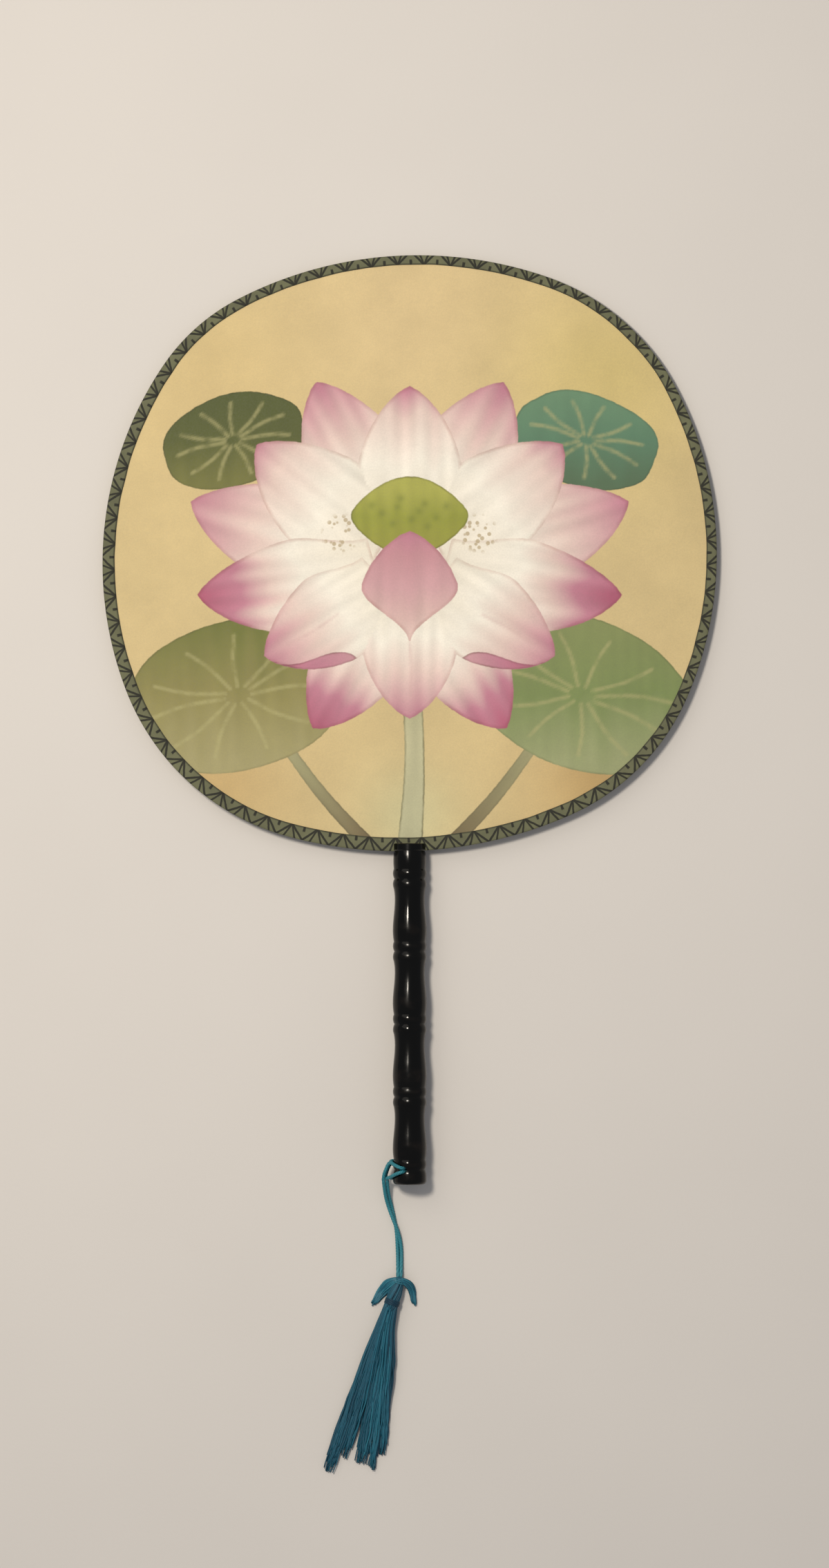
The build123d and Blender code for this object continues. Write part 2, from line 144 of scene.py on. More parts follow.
def signed_distance(x: Array, y: Array, loop: Array) -> Array:
    """How far each place is from a closed outline, positive inside.

    The distance is the least over the outline's segments of the distance to the nearest point of
    the segment; the sign comes from counting the segments crossed by a ray towards +x.

    Args:
        x: places across, any length.
        y: places along.
        loop: (k, 2) corners of the outline.

    Returns:
        One number for each place.
    """
    a, b = loop, np.roll(loop, -1, axis=0)
    run = b - a
    px, py = x[:, None] - a[:, 0], y[:, None] - a[:, 1]
    share = np.clip((px * run[:, 0] + py * run[:, 1]) / np.maximum((run**2).sum(1), 1e-9), 0.0, 1.0)
    gap = np.sqrt(((px - share * run[:, 0]) ** 2 + (py - share * run[:, 1]) ** 2).min(1))
    spans = (a[:, 1] > y[:, None]) != (b[:, 1] > y[:, None])
    rise = np.where(np.abs(run[:, 1]) < 1e-9, 1e-9, run[:, 1])
    crossed = spans & (px < run[:, 0] * py / rise)
    return np.where(crossed.sum(1) % 2 == 1, gap, -gap)


def line_distance(x: Array, y: Array, line: Array) -> Array:
    """The distance from each place to an open line: the least over its segments.

    Args:
        x: places across the face, in millimetres from its middle.
        y: places along it.
        line: (k, 2) places of the line.

    Returns:
        One distance for each place.
    """
    a, run = line[:-1], line[1:] - line[:-1]
    px, py = x[:, None] - a[:, 0], y[:, None] - a[:, 1]
    share = np.clip((px * run[:, 0] + py * run[:, 1]) / np.maximum((run**2).sum(1), 1e-9), 0.0, 1.0)
    return np.sqrt(((px - share * run[:, 0]) ** 2 + (py - share * run[:, 1]) ** 2).min(1))


# ------------------------------------------------------------------ meshes
def make_piece(name: str, points: Array, faces: list[Array], smooth: bool = True) -> bpy.types.Object:
    """Make an object at the origin from places in metres and arrays of faces.

    Args:
        name: the piece's name.
        points: (n, 3) places in metres.
        faces: arrays of corners, one array for the quads and one for the triangles, say.
        smooth: whether the faces are shaded smoothly.

    Returns:
        The new object, linked to the scene.
    """
    mesh = bpy.data.meshes.new(name)
    counts = np.concatenate([np.full(len(part), part.shape[1], np.int32) for part in faces])
    corners = np.concatenate([part.ravel() for part in faces]).astype(np.int32)
    starts = np.concatenate([[0], np.cumsum(counts)[:-1]]).astype(np.int32)
    mesh.vertices.add(len(points))
    mesh.vertices.foreach_set("co", points.astype(np.float32).ravel())
    mesh.loops.add(len(corners))
    mesh.loops.foreach_set("vertex_index", corners)
    mesh.polygons.add(len(counts))
    mesh.polygons.foreach_set("loop_start", starts)
    mesh.polygons.foreach_set("use_smooth", np.full(len(counts), smooth))
    mesh.update(calc_edges=True)
    mesh.validate()
    piece = bpy.data.objects.new(name, mesh)
    bpy.context.scene.collection.objects.link(piece)
    return piece


def grid_faces(rows: int, columns: int, closed_rows: bool = False,
    closed_columns: bool = False) -> Array:
    """The quads of a grid of places numbered row by row, joined round where it is closed.

    Args:
        rows: rows of places.
        columns: places in a row.
        closed_rows: whether the last row joins the first.
        closed_columns: whether each row joins its own start.

    Returns:
        (n, 4) corners.
    """
    i, j = np.meshgrid(
        np.arange(rows if closed_rows else rows - 1),
        np.arange(columns if closed_columns else columns - 1),
        indexing="ij",
    )
    below, right = (i + 1) % rows, (j + 1) % columns
    quads = np.stack(
        [i * columns + j, i * columns + right, below * columns + right, below * columns + j], -1)
    return quads.reshape(-1, 4)


def set_values(piece: bpy.types.Object, name: str, values: Array, kind: str = "FLOAT") -> None:
    """Keep one number, or one colour of four, for each vertex of a piece under a name.

    Args:
        piece: the piece.
        name: the name to keep them under.
        values: one row for each vertex.
        kind: FLOAT or FLOAT_COLOR.
    """
    layer = piece.data.attributes.new(name, kind, "POINT")
    field_name = "color" if kind == "FLOAT_COLOR" else "value"
    layer.data.foreach_set(field_name, values.astype(np.float32).ravel())


def joined(name: str, pieces: list[bpy.types.Object]) -> bpy.types.Object:
    """Pieces made one, with their attributes; the first keeps the data and takes the name.

    Args:
        name: the new name.
        pieces: the pieces, first to last.

    Returns:
        The one piece.
    """
    with bpy.context.temp_override(active_object=pieces[0], object=pieces[0], selected_objects=pieces,
                                   selected_editable_objects=pieces):
        bpy.ops.object.join()
    pieces[0].name = pieces[0].data.name = name
    return pieces[0]


@dataclass
class Tubes:
    """One tube, or many alike, carried along lines.

    A tube's surface is line(t) + r(a, t) * (cos a * N + sin a * B), where N and B stand square to
    the line and N is square to the reference direction too. The radius r is given for each place
    along the line, and with plies it swells and sinks with |cos(plies * (a - turns) / 2)|, which lays
    a twist of that many plies on the tube.
    """

    lines: Array                      # (k, n, 3) places
    radius: Array | float             # broadcast to (k, n)
    reference: Array = field(default_factory=lambda: np.array([0.0, 0.0, 1.0]))
    sides: int = 6
    plies: int = 0
    flute: float = 0.0                # how deep the twist's grooves are, as a share of the radius
    lay: float = 4.0                  # length of one whole turn of the twist
    closed: bool = False

    def surface(self) -> tuple[Array, list[Array], Array]:
        """Work out the tubes.

        Returns:
            Places (m, 3), the faces, and for each place its tube's number, share of the length,
            angle, and height in the twist from 0 in a groove to 1 on a ply.
        """
        lines = self.lines
        k, n, _ = lines.shape
        if self.closed:
            step = np.roll(lines, -1, 1) - np.roll(lines, 1, 1)
        else:
            step = np.gradient(lines, axis=1)
        tangent = unit(step)
        across = unit(np.cross(tangent, np.broadcast_to(self.reference, lines.shape)))
        up = np.cross(across, tangent)
        run = np.linalg.norm(np.diff(lines, axis=1), axis=-1)
        travelled = np.concatenate([np.zeros((k, 1)), np.cumsum(run, 1)], 1)
        whole = travelled[:, -1:]
        if self.closed:
            whole = whole + np.linalg.norm(lines[:, :1] - lines[:, -1:], axis=-1)
        angle = np.linspace(0.0, 2.0 * np.pi, self.sides, endpoint=False)
        turns = 2.0 * np.pi * travelled / self.lay
        if self.closed:
            turns = 2.0 * np.pi * travelled / whole * np.round(whole / self.lay)
        radius = np.broadcast_to(self.radius, (k, n))[..., None] * np.ones(self.sides)
        wave = np.ones_like(radius)
        if self.plies:
            wave = np.abs(np.cos(0.5 * self.plies * angle - 0.5 * self.plies * turns[..., None]))
            radius = radius * (1.0 - self.flute + self.flute * wave)
        ring = radius[..., None] * (
            np.cos(angle)[:, None] * across[:, :, None, :] + np.sin(angle)[:, None] * up[:, :, None, :]
        )
        places = (lines[:, :, None, :] + ring).reshape(-1, 3)
        one = grid_faces(n, self.sides, closed_rows=self.closed, closed_columns=True)[:, ::-1]
        quads = (one[None] + (np.arange(k) * n * self.sides)[:, None, None]).reshape(-1, 4)
        share = np.repeat(travelled / whole, self.sides, axis=1).reshape(-1)
        number = np.repeat(np.arange(k), n * self.sides)
        around = np.tile(angle, k * n)
        facts = np.stack([number, share, around, wave.reshape(-1)], -1)
        if self.closed:
            return places, [quads], facts
        first, last = k * n * self.sides, k * n * self.sides + k
        places = np.vstack([places, lines[:, 0], lines[:, -1]])
        base = (np.arange(k) * n * self.sides)[:, None]
        a, b = np.arange(self.sides), (np.arange(self.sides) + 1) % self.sides
        start = np.stack(np.broadcast_arrays(first + np.arange(k)[:, None], base + a, base + b), -1)
        tail = base + (n - 1) * self.sides
        end = np.stack(np.broadcast_arrays(last + np.arange(k)[:, None], tail + b, tail + a), -1)
        ends = np.stack(
            [np.tile(np.arange(k), 2), np.repeat([0.0, 1.0], k), np.zeros(2 * k), np.ones(2 * k)], -1)
        caps = np.concatenate([start.reshape(-1, 3), end.reshape(-1, 3)])
        return places, [quads, caps], np.vstack([facts, ends])


# ------------------------------------------------------------------ shader nodes
class Shader:
    """A material on one Principled shader, and short ways to add and join its nodes."""

    def __init__(self, name: str, colour: Colour, roughness: float, **sockets: float) -> None:
        """Start a material.

        Args:
            name: the material's name.
            colour: the plain sRGB colour, used where nothing is joined to it.
            roughness: the plain roughness.
            sockets: other sockets of the shader, with _ for a space in their names.
        """
        self.material = bpy.data.materials.new(name)
        self.material.use_nodes = True
        self.tree = self.material.node_tree
        self.base = next(n for n in self.tree.nodes if n.type == "BSDF_PRINCIPLED")
        self.base.inputs["Base Color"].default_value = rgba(colour)
        self.base.inputs["Roughness"].default_value = roughness
        for socket, value in sockets.items():
            self.base.inputs[socket.replace("_", " ")].default_value = value

    def put(self, socket: bpy.types.NodeSocket, value: object) -> None:
        """Join an output to a socket, or set the socket to a number or colour.

        Args:
            socket: the input.
            value: an output, a number or a colour.
        """
        if isinstance(value, bpy.types.NodeSocket):
            self.tree.links.new(value, socket)
        else:
            socket.default_value = value

    def node(self, kind: str, inputs: dict | None = None, **settings: object) -> bpy.types.Node:
        """Add a node with some settings and some of its inputs put in.

        Args:
            kind: the node's type without ShaderNode.
            inputs: what goes into its inputs, by name or number.

        Returns:
            The node.
        """
        made = self.tree.nodes.new("ShaderNode" + kind)
        for name, value in settings.items():
            setattr(made, name, value)
        for key, value in (inputs or {}).items():
            self.put(made.inputs[key], value)
        return made

    def math(self, operation: str, *values: object, clamp: bool = False) -> bpy.types.NodeSocket:
        """One sum, product or other operation on numbers."""
        made = self.node("Math", dict(enumerate(values)), operation=operation, use_clamp=clamp)
        return made.outputs[0]

    def mix(self, share: object, a: object, b: object, blend: str = "MIX") -> bpy.types.NodeSocket:
        """Mix two colours by a share.

        Args:
            share: how much of b.
            a: the first colour.
            b: the second colour.
            blend: how they are blended.

        Returns:
            The mixed colour.
        """
        made = self.node("Mix", data_type="RGBA", blend_type=blend)
        for socket, value in zip((made.inputs[0], made.inputs[6], made.inputs[7]), (share, a, b)):
            self.put(socket, value)
        return made.outputs[2]

    def shaded(self, colour: object, light: object) -> bpy.types.NodeSocket:
        """The colour multiplied by a grey of this light."""
        grey = self.node("CombineColor", {i: light for i in range(3)}).outputs[0]
        return self.mix(1.0, colour, grey, "MULTIPLY")

    def attribute(self, name: str) -> bpy.types.Node:
        """The values that a piece keeps under a name."""
        return self.node("Attribute", attribute_name=name)

    def places(self, scale: Triple = (1.0, 1.0, 1.0), **place: object) -> bpy.types.NodeSocket:
        """Object coordinates, scaled, and turned or moved first if asked.

        Args:
            scale: how much each axis is scaled.

        Returns:
            The coordinates.
        """
        source = self.node("TexCoord").outputs["Object"]
        inputs = {"Vector": source, "Scale": scale, **{k.capitalize(): v for k, v in place.items()}}
        return self.node("Mapping", inputs).outputs[0]

    def noise(self, vector: object, scale: float, detail: float = 2.0,
        rough: float = 0.5) -> bpy.types.NodeSocket:
        """Noise between 0 and 1."""
        inputs = {"Vector": vector, "Scale": scale, "Detail": detail, "Roughness": rough}
        return self.node("TexNoise", inputs).outputs[0]

    def remap(self, value: object, low: float, high: float, to_low: float,
        to_high: float) -> bpy.types.NodeSocket:
        """Carry a number from one span to another, held inside it."""
        inputs = {0: value, 1: low, 2: high, 3: to_low, 4: to_high}
        return self.node("MapRange", inputs, clamp=True).outputs[0]

    def bump(self, height: object, distance: float, strength: float = 1.0) -> bpy.types.NodeSocket:
        """Turn a height between 0 and 1 into a bumped normal, distance in metres."""
        inputs = {"Height": height, "Distance": distance, "Strength": strength}
        return self.node("Bump", inputs).outputs[0]

    def finish(self, colour: object = None, roughness: object = None,
        normal: object = None) -> bpy.types.Material:
        """Join what varies over the surface to the shader and hand over the material.

        Args:
            colour: the varying colour.
            roughness: the varying roughness.
            normal: the bumped normal.

        Returns:
            The material.
        """
        for socket, value in (("Base Color", colour), ("Roughness", roughness), ("Normal", normal)):
            if value is not None:
                self.put(self.base.inputs[socket], value)
        return self.material


# ------------------------------------------------------------------ the fan's flat frame
@dataclass(frozen=True)
class FanPlane:
    """The fan's flat frame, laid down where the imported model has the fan."""

    origin: Array
    along: Array
    normal: Array

    @classmethod
    def from_record(cls, record: dict) -> "FanPlane":
        """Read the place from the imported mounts: the butt's centre and axis, and the grip's axis.

        Args:
            record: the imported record.

        Returns:
            The frame.
        """
        mounts = {mount["name"]: mount for mount in record["mounts"]}
        butt, grip = mounts["butt_face"], mounts["handle_grip"]
        return cls(np.array(butt["pos_m"]), -np.array(butt["axis"]), np.array(grip["axis"]))

    def lay(self, flat: Array) -> Array:
        """Carry places of the flat frame, in millimetres, to the floor, in metres.

        Args:
            flat: (..., 3) places.

        Returns:
            The places in metres.
        """
        across = flat[..., :1] * MM * np.array([1.0, 0.0, 0.0])
        return self.origin + across + flat[..., 1:2] * MM * self.along + flat[
            ..., 2:] * MM * self.normal


@dataclass(frozen=True)
class FaceOutline:
    """The hand-bent outline of the face: four flat arcs joined by four rounder ones."""

    width: float = 250.5
    height: float = 243.3
    centre_y: float = 257.35
    side_shares: tuple[float, ...] = (1.19, 1.296, 1.17, 1.405)      # right, top, left, bottom
    corner_shares: tuple[float, ...] = (0.757, 0.668, 0.798, 0.753)  # the corner after each side
    shifts: tuple[float, ...] = (-0.5, 3.5, -4.2, -4.5)              # each side's extreme, off the axis

    def circles(self) -> list[Triple]:
        """The eight arcs, counter-clockwise from the right-hand side, face-centred.

        A corner's circle touches its two side circles from inside, so its centre lies as far from
        each of their centres as the radii differ.

        Returns:
            (x, y, radius) of each arc.
        """
        mean = (self.width + self.height) / 4
        half = (self.width / 2, self.height / 2)
        flat = []
        for index, (share, shift) in enumerate(zip(self.side_shares, self.shifts)):
            radius = share * mean
            reach = half[index % 2] - radius
            sign = 1 if index < 2 else -1
            flat.append((sign * reach, shift, radius) if index % 2 == 0
                else (shift, sign * reach, radius))
        found = []
        for index, share in enumerate(self.corner_shares):
            one, other = flat[index], flat[(index + 1) % 4]
            radius = share * mean
            gap = np.hypot(other[0] - one[0], other[1] - one[1])
            near, far = one[2] - radius, other[2] - radius
            along = (near**2 - far**2 + gap**2) / (2 * gap)
            off = np.sqrt(near**2 - along**2)
            u = np.array([other[0] - one[0], other[1] - one[1]]) / gap
            middle = np.array(one[:2]) + u * along
            signs = np.array([1 if index in (0, 3) else -1, 1 if index < 2 else -1])
            choices = [middle + off * np.array([-u[1], u[0]]), middle - off * np.array([-u[1], u[0]])]
            centre = max(choices, key=lambda c: float(c @ signs))
            found += [one, (float(centre[0]), float(centre[1]), radius)]
        return found

    def loop(self, inset: float | Array, count: int) -> tuple[Array, Array, Array]:
        """Places along the outline moved inwards.

        Args:
            inset: how far inwards, one number or one for each place.
            count: how many places, evenly spaced along the outline.

        Returns:
            Places (count, 2), outward normals (count, 2) and the distance run along the edge.
        """
        circles = self.circles()
        meets = []
        for one, other in zip(circles, circles[1:] + circles[:1]):
            big, small = (one, other) if one[2] > other[2] else (other, one)
            meets.append(float(np.arctan2(small[1] - big[1], small[0] - big[0])))
        angles, centres = [], []
        for circle, start, end in zip(circles, meets[-1:] + meets[:-1], meets):
            span = (end - start) % (2 * np.pi)
            angles.append(start + np.linspace(0.0, span, 240, endpoint=False))
            centres.append(np.tile(circle, (240, 1)))
        turn, centre = np.unwrap(np.concatenate(angles)), np.concatenate(centres)
        normal = np.stack([np.cos(turn), np.sin(turn)], -1)
        edge = centre[:, :2] + centre[:, 2:] * normal
        run = np.linalg.norm(np.roll(edge, -1, 0) - edge, axis=1)
        travelled = np.concatenate([[0.0], np.cumsum(run)])
        wanted = np.linspace(0.0, travelled[-1], count, endpoint=False)
        closed = np.vstack([edge, edge[:1]])
        place = np.stack([np.interp(wanted, travelled, closed[:, i]) for i in (0, 1)], -1)
        bent = np.interp(wanted, travelled, np.append(turn, turn[0] + 2 * np.pi))
        out = np.stack([np.cos(bent), np.sin(bent)], -1)
        return place - out * np.broadcast_to(inset, (count,))[:, None], out, wanted

    def disc(self, cells: int, inset: float) -> Array:
        """Cover the face with a square grid drawn out to the outline.

        A grid place (u, v) goes to (u * sqrt(1 - v*v/2), v * sqrt(1 - u*u/2)) on the unit disc and
        from there straight out from the centre, in proportion to the outline's own radius there.

        Args:
            cells: cells along each side of the grid.
            inset: how far inside the outline the grid ends.

        Returns:
            ((cells + 1) squared, 2) face-centred places, row by row.
        """
        edge, _, _ = self.loop(inset, 2880)
        angle = np.arctan2(edge[:, 1], edge[:, 0])
        order = np.argsort(angle)
        angle, reach = angle[order], np.hypot(edge[order, 0], edge[order, 1])
        line = np.linspace(-1.0, 1.0, cells + 1)
        v, u = np.meshgrid(line, line, indexing="ij")
        x, y = u * np.sqrt(1 - v * v / 2), v * np.sqrt(1 - u * u / 2)
        radius = np.interp(np.arctan2(y, x), angle, reach, period=2 * np.pi)
        return np.stack([x * radius, y * radius], -1).reshape(-1, 2)


# ------------------------------------------------------------------ the painting
class Depth(Enum):
    """The painting's layers, first wash to last, with how strongly an edge dries darker."""

    LEAF_BACK = 0.18
    LEAF_FRONT = 0.22
    STEM = 0.50
    PETAL_FAR = 0.24
    PETAL_MID = 0.26
    PETAL_NEAR = 0.28
    FOLD = 0.21
    POD = 0.35
    PETAL_FRONT = 0.23


CREAM, WHITE, BLUSH = (230, 222, 204), (238, 232, 218), (222, 198, 188)
ROSE, PINK, MAGENTA = (202, 156, 160), (186, 122, 140), (170, 86, 112)
OLIVE, MOSS, GREEN, TEAL = (138, 131, 74), (80, 86, 32), (118, 134, 76), (84, 122, 94)
STEM_PALE, STEM_DARK = (184, 180, 142), (104, 86, 54)


class Tone(Enum):
    """How a petal is coloured, from its base to its tip."""

    PALE = ((0.0, CREAM), (0.45, WHITE), (0.8, BLUSH), (1.0, PINK))
    ROSY = ((0.0, CREAM), (0.35, WHITE), (0.62, BLUSH), (0.85, ROSE), (1.0, PINK))
    DEEP = ((0.0, BLUSH), (0.35, ROSE), (0.7, PINK), (1.0, MAGENTA))
    DIPPED = ((0.0, CREAM), (0.42, WHITE), (0.6, BLUSH), (0.78, PINK), (1.0, MAGENTA))
    BUD = ((0.0, BLUSH), (0.22, (212, 178, 172)), (0.5, ROSE), (0.8, (190, 136, 144)), (1.0, PINK))


Ramp = tuple[tuple[float, Colour], ...]
Touch = tuple[float, float, float, Colour, float]
# A painted line: half width in millimetres, colour, strength, and the places that it runs through.
Line = tuple[float, Colour, float, tuple[Pair, ...]]


@dataclass(frozen=True)
class Wash:
    """One painted shape: a closed outline, a run of colours along an axis, and soft touches of colour.

    Places are in millimetres from the middle of the face. The ramp's colours lie along the line
    from axis[0] (share 0) to axis[1] (share 1); a touch is (x, y, reach, colour, strength).
    """

    depth: Depth
    loop: Array
    axis: tuple[Pair, Pair]
    ramp: Ramp
    touches: tuple[Touch, ...] = ()
    streak: float = 0.06

    def colours(self, x: Array, y: Array, seed: int) -> Array:
        """The shape's colour at each place, also outside it: ramp, then touches, then streaks.

        A touch mixes its colour in by strength * exp(-(distance / reach) squared). The streaks
        run along the axis and scale the light by 1 + streak * ripple.

        Args:
            x: places across the face, in millimetres from its middle.
            y: places along it.
            seed: chooses the streaks.

        Returns:
            (n, 3) linear colours.
        """
        start, end = np.array(self.axis[0]), np.array(self.axis[1])
        run = end - start
        length = float(np.hypot(*run))
        along = ((x - start[0]) * run[0] + (y - start[1]) * run[1]) / length
        across = ((y - start[1]) * run[0] - (x - start[0]) * run[1]) / length
        stops = np.array([stop for stop, _ in self.ramp])
        tones = np.array([linear(tone) for _, tone in self.ramp])
        wander = along / length + 0.05 * ripple(across / 3.0, along / 25.0, seed + 50)
        found = np.stack([np.interp(wander, stops, tones[:, i]) for i in range(3)], -1)
        for px, py, reach, tone, strength in self.touches:
            share = strength * np.exp(-(((x - px) ** 2 + (y - py) ** 2) / reach**2))
            found += share[:, None] * (linear(tone) - found)
        streaks = ripple(across / 2.0, along / 18.0, seed)
        return np.clip(found * (1.0 + self.streak * streaks)[:, None], 0.0, 1.0)


@dataclass(frozen=True)
class Petal:
    """A lotus petal: a pointed oval carried along a bowed middle line, with an optional curled edge.

    The middle line is the quadratic Bezier curve from base to tip whose handle stands `bow` to
    the left of half way. The half width along it is width/2 * foot * (1 - t**3)**0.8, where foot
    rises smoothly from `root` at the base to 1 at `belly`.
    """

    depth: Depth
    base: Pair
    tip: Pair
    width: float
    tone: Tone
    bow: float = 0.0
    root: float = 0.4
    belly: float = 0.5
    curl: Triple | None = None   # side (1 left, -1 right), where it starts, its share

    def edges(self, t: Array) -> tuple[Array, Array, Array]:
        """Middle line, left normal and half width at shares t of the length.

        Args:
            t: shares of the length.

        Returns:
            Three arrays, one row for each share.
        """
        base, tip = np.array(self.base), np.array(self.tip)
        run = tip - base
        left = np.array([-run[1], run[0]]) / np.hypot(*run)
        handle = (base + tip) / 2 + left * self.bow
        t = t[:, None]
        line = (1 - t) ** 2 * base + 2 * t * (1 - t) * handle + t**2 * tip
        way = unit(2 * (1 - t) * (handle - base) + 2 * t * (tip - handle))
        foot = self.root + (1 - self.root) * smooth_step(0.0, self.belly, t)
        half = 0.5 * self.width * foot * (1 - t**3) ** 0.8
        return line, np.stack([-way[:, 1], way[:, 0]], -1), half

    def at(self, share: float) -> Pair:
        """The place this share of the way along the petal's middle line."""
        x, y = self.edges(np.array([share]))[0][0]
        return float(x), float(y)

    def washes(self) -> list[Wash]:
        """The petal's own wash, and the deeper one of its curled edge.

        The curl lies between the petal's edge and a line inside it, at edge * (1 - share * s),
        where s swells as sin(pi * u**0.6) from the curl's start to the tip.

        Returns:
            The washes, in the order in which they are laid on.
        """
        t = np.linspace(0.0, 1.0, 34)
        line, left, half = self.edges(t)
        loop = np.vstack([line + left * half, (line - left * half)[-2::-1]])
        axis = (self.base, self.tip)
        found = [Wash(self.depth, loop, axis, self.tone.value)]
        if self.curl:
            side, start, share = self.curl
            t = np.linspace(start, 1.0, 24)
            line, left, half = self.edges(t)
            swell = np.sin(np.pi * np.linspace(0.0, 1.0, 24)[:, None] ** 0.6)
            outer = line + side * left * half
            inner = line + side * left * half * (1.0 - share * swell)
            found.append(Wash(Depth.POD, np.vstack([outer, inner[-2:0:-1]]), axis, Tone.DEEP.value))
        return found


@dataclass(frozen=True)
class Leaf:
    """A lotus leaf: an oval with a softly waved margin, and the pale veins that fan from its heart.

    The margin's reach at angle a is radius * (1 + wave * ripple(a)), stretched by `squash` along
    the turned second axis.
    """

    depth: Depth
    middle: Pair
    radius: float
    squash: float
    turn: float                    # degrees
    ramp: Ramp
    axis: tuple[Pair, Pair]
    wave: float = 0.04
    lobes: float = 3.0
    seed: int = 1

    def place(self, x: Array | float, y: Array | float) -> Array:
        """Places of the leaf's own oval turned and carried to the face.

        Args:
            x: places along the oval's longer axis.
            y: places along its shorter one.

        Returns:
            The places, x and y last.
        """
        turn = np.radians(self.turn)
        cos, sin = np.cos(turn), np.sin(turn)
        return np.stack([self.middle[0] + cos * x - sin * y, self.middle[1] + sin * x + cos * y], -1)

    def wash(self) -> Wash:
        """The leaf as one wash.

        Returns:
            The wash.
        """
        angle = np.linspace(0.0, 2.0 * np.pi, 120, endpoint=False)
        reach = self.radius * (
            1.0 + self.wave * ripple(self.lobes * np.sin(angle), self.lobes * np.cos(angle), self.seed))
        loop = self.place(reach * np.cos(angle), self.squash * reach * np.sin(angle))
        return Wash(self.depth, loop, self.axis, self.ramp, (), 0.025)

    def veins(self, count: int = 11) -> list[Line]:
        """Pale veins, evenly spaced in angle, from near the leaf's heart out to 0.84 of its margin.

        Args:
            count: how many.

        Returns:
            The lines.
        """
        found = []
        for k in range(count):
            angle = 2.0 * np.pi * (k + 0.5) / count
            x, y = self.radius * np.cos(angle), self.squash * self.radius * np.sin(angle)
            root, end = (self.place(share * x, share * y) for share in (0.12, 0.84))
            found.append(vein(tuple(root), tuple(end), 0.05 * (-1) ** k, 0.5, (176, 170, 116), 0.5))
        return found


@dataclass(frozen=True)
class Stalk:
    """A stem: a band of changing width along a smooth line through a few places."""

    places: tuple[Pair, ...]
    widths: tuple[float, ...]
    ramp: Ramp
    depth: Depth = Depth.STEM

    def wash(self) -> Wash:
        """The stem as one wash, its edges square to its middle line.

        Returns:
            The wash.
        """
        line = curve_through(np.array(self.places), 8)
        left = unit(np.gradient(line, axis=0))[:, ::-1] * np.array([-1.0, 1.0])
        half = 0.5 * np.interp(np.linspace(0, 1, len(line)), np.linspace(0, 1, len(self.widths)),
            self.widths)
        loop = np.vstack([line + left * half[:, None], (line - left * half[:, None])[::-1]])
        return Wash(self.depth, loop, (self.places[0], self.places[-1]), self.ramp, (), 0.06)


def vein(root: Pair, end: Pair, bend: float, width: float, tone: Colour, strength: float) -> Line:
    """A painted line from root to end that bows aside by bend times its length half way.

    Args:
        root: where it starts.
        end: where it ends.
        bend: how far it bows, as a share of its length.
        width: half width in millimetres.
        tone: its colour.
        strength: how strongly it covers.

    Returns:
        The line.
    """
    (x0, y0), (x1, y1) = root, end
    return width, tone, strength, (
        root, ((x0 + x1) / 2 - bend * (y1 - y0), (y0 + y1) / 2 + bend * (x1 - x0)), end)


@dataclass(frozen=True)
class Ring:
    """A ring of equal petals, evenly spaced in angle about the flower's heart.

    Petal k points at angle first + k * step. Its base lies at heart + foot * (cos a, squash * sin a)
    and its tip at heart + reach * (cos a, squash * sin a). Neighbours take the two depths, tones
    and reaches by turns. Only the second of each two, which lies on top, has a curled edge, on the
    side that faces down; curls share the pod's layer, which lies over every ring.
    """

    first: float
    step: float
    count: int
    reaches: Pair
    width: float
    depths: tuple[Depth, Depth]
    tones: tuple[Tone, Tone]
    curl: float = 0.0
    foot: float = 14.0
    squash: float = 0.86

    def petals(self, heart: Pair) -> list[Petal]:
        """The ring's petals about a heart.

        Args:
            heart: the flower's heart.

        Returns:
            The petals, by angle.
        """
        found = []
        for k in range(self.count):
            angle = np.radians(self.first + k * self.step)
            way = np.array([np.cos(angle), self.squash * np.sin(angle)])
            base, tip = np.array(heart) + self.foot * way, np.array(heart) + self.reaches[k % 2] * way
            side = 1 if way[0] < 0 else -1
            curl = (side, 0.45, self.curl) if k % 2 and self.curl and abs(way[0]) > 0.2 else None
            found.append(
                Petal(self.depths[k % 2], tuple(base), tuple(tip), self.width, self.tones[k % 2],
                      side * 5.0 * abs(way[0]), 0.6, 0.5, curl))
        return found


FLOWER_HEART: Pair = (0.0, -4.0)
RINGS: tuple[Ring, ...] = (
    Ring(18, 24, 7, (94, 84), 46, (Depth.PETAL_FAR, Depth.PETAL_MID), (Tone.ROSY, Tone.PALE)),
    Ring(190, 80 / 3, 7, (88, 74), 42, (Depth.PETAL_NEAR, Depth.FOLD), (Tone.DIPPED, Tone.ROSY), 0.34),
)
LEAF_RAMPS: tuple[Ramp, ...] = (
    ((0, (106, 110, 44)), (0.5, OLIVE), (1, (160, 152, 104))),
    ((0, (128, 138, 82)), (0.5, GREEN), (1, (150, 156, 110))),
    ((0, (74, 82, 30)), (0.5, MOSS), (1, (110, 110, 50))),
    ((0, (98, 134, 102)), (0.5, TEAL), (1, (78, 104, 74))),
)


def round_leaf(depth: Depth, middle: Pair, radius: float, ramp: int) -> Leaf:
    """A plain round leaf seen at a slant, its wash running from its upper side to its lower one.

    Args:
        depth: its layer.
        middle: its heart.
        radius: its longer half width.
        ramp: which of LEAF_RAMPS colours it.

    Returns:
        The leaf.
    """
    x, y = middle
    lean = -16.0 if x > 0 else 16.0
    return Leaf(depth, middle, radius, 0.64, lean, LEAF_RAMPS[ramp],
                ((x, y + 0.6 * radius), (x, y - 0.6 * radius)), seed=3 + ramp)


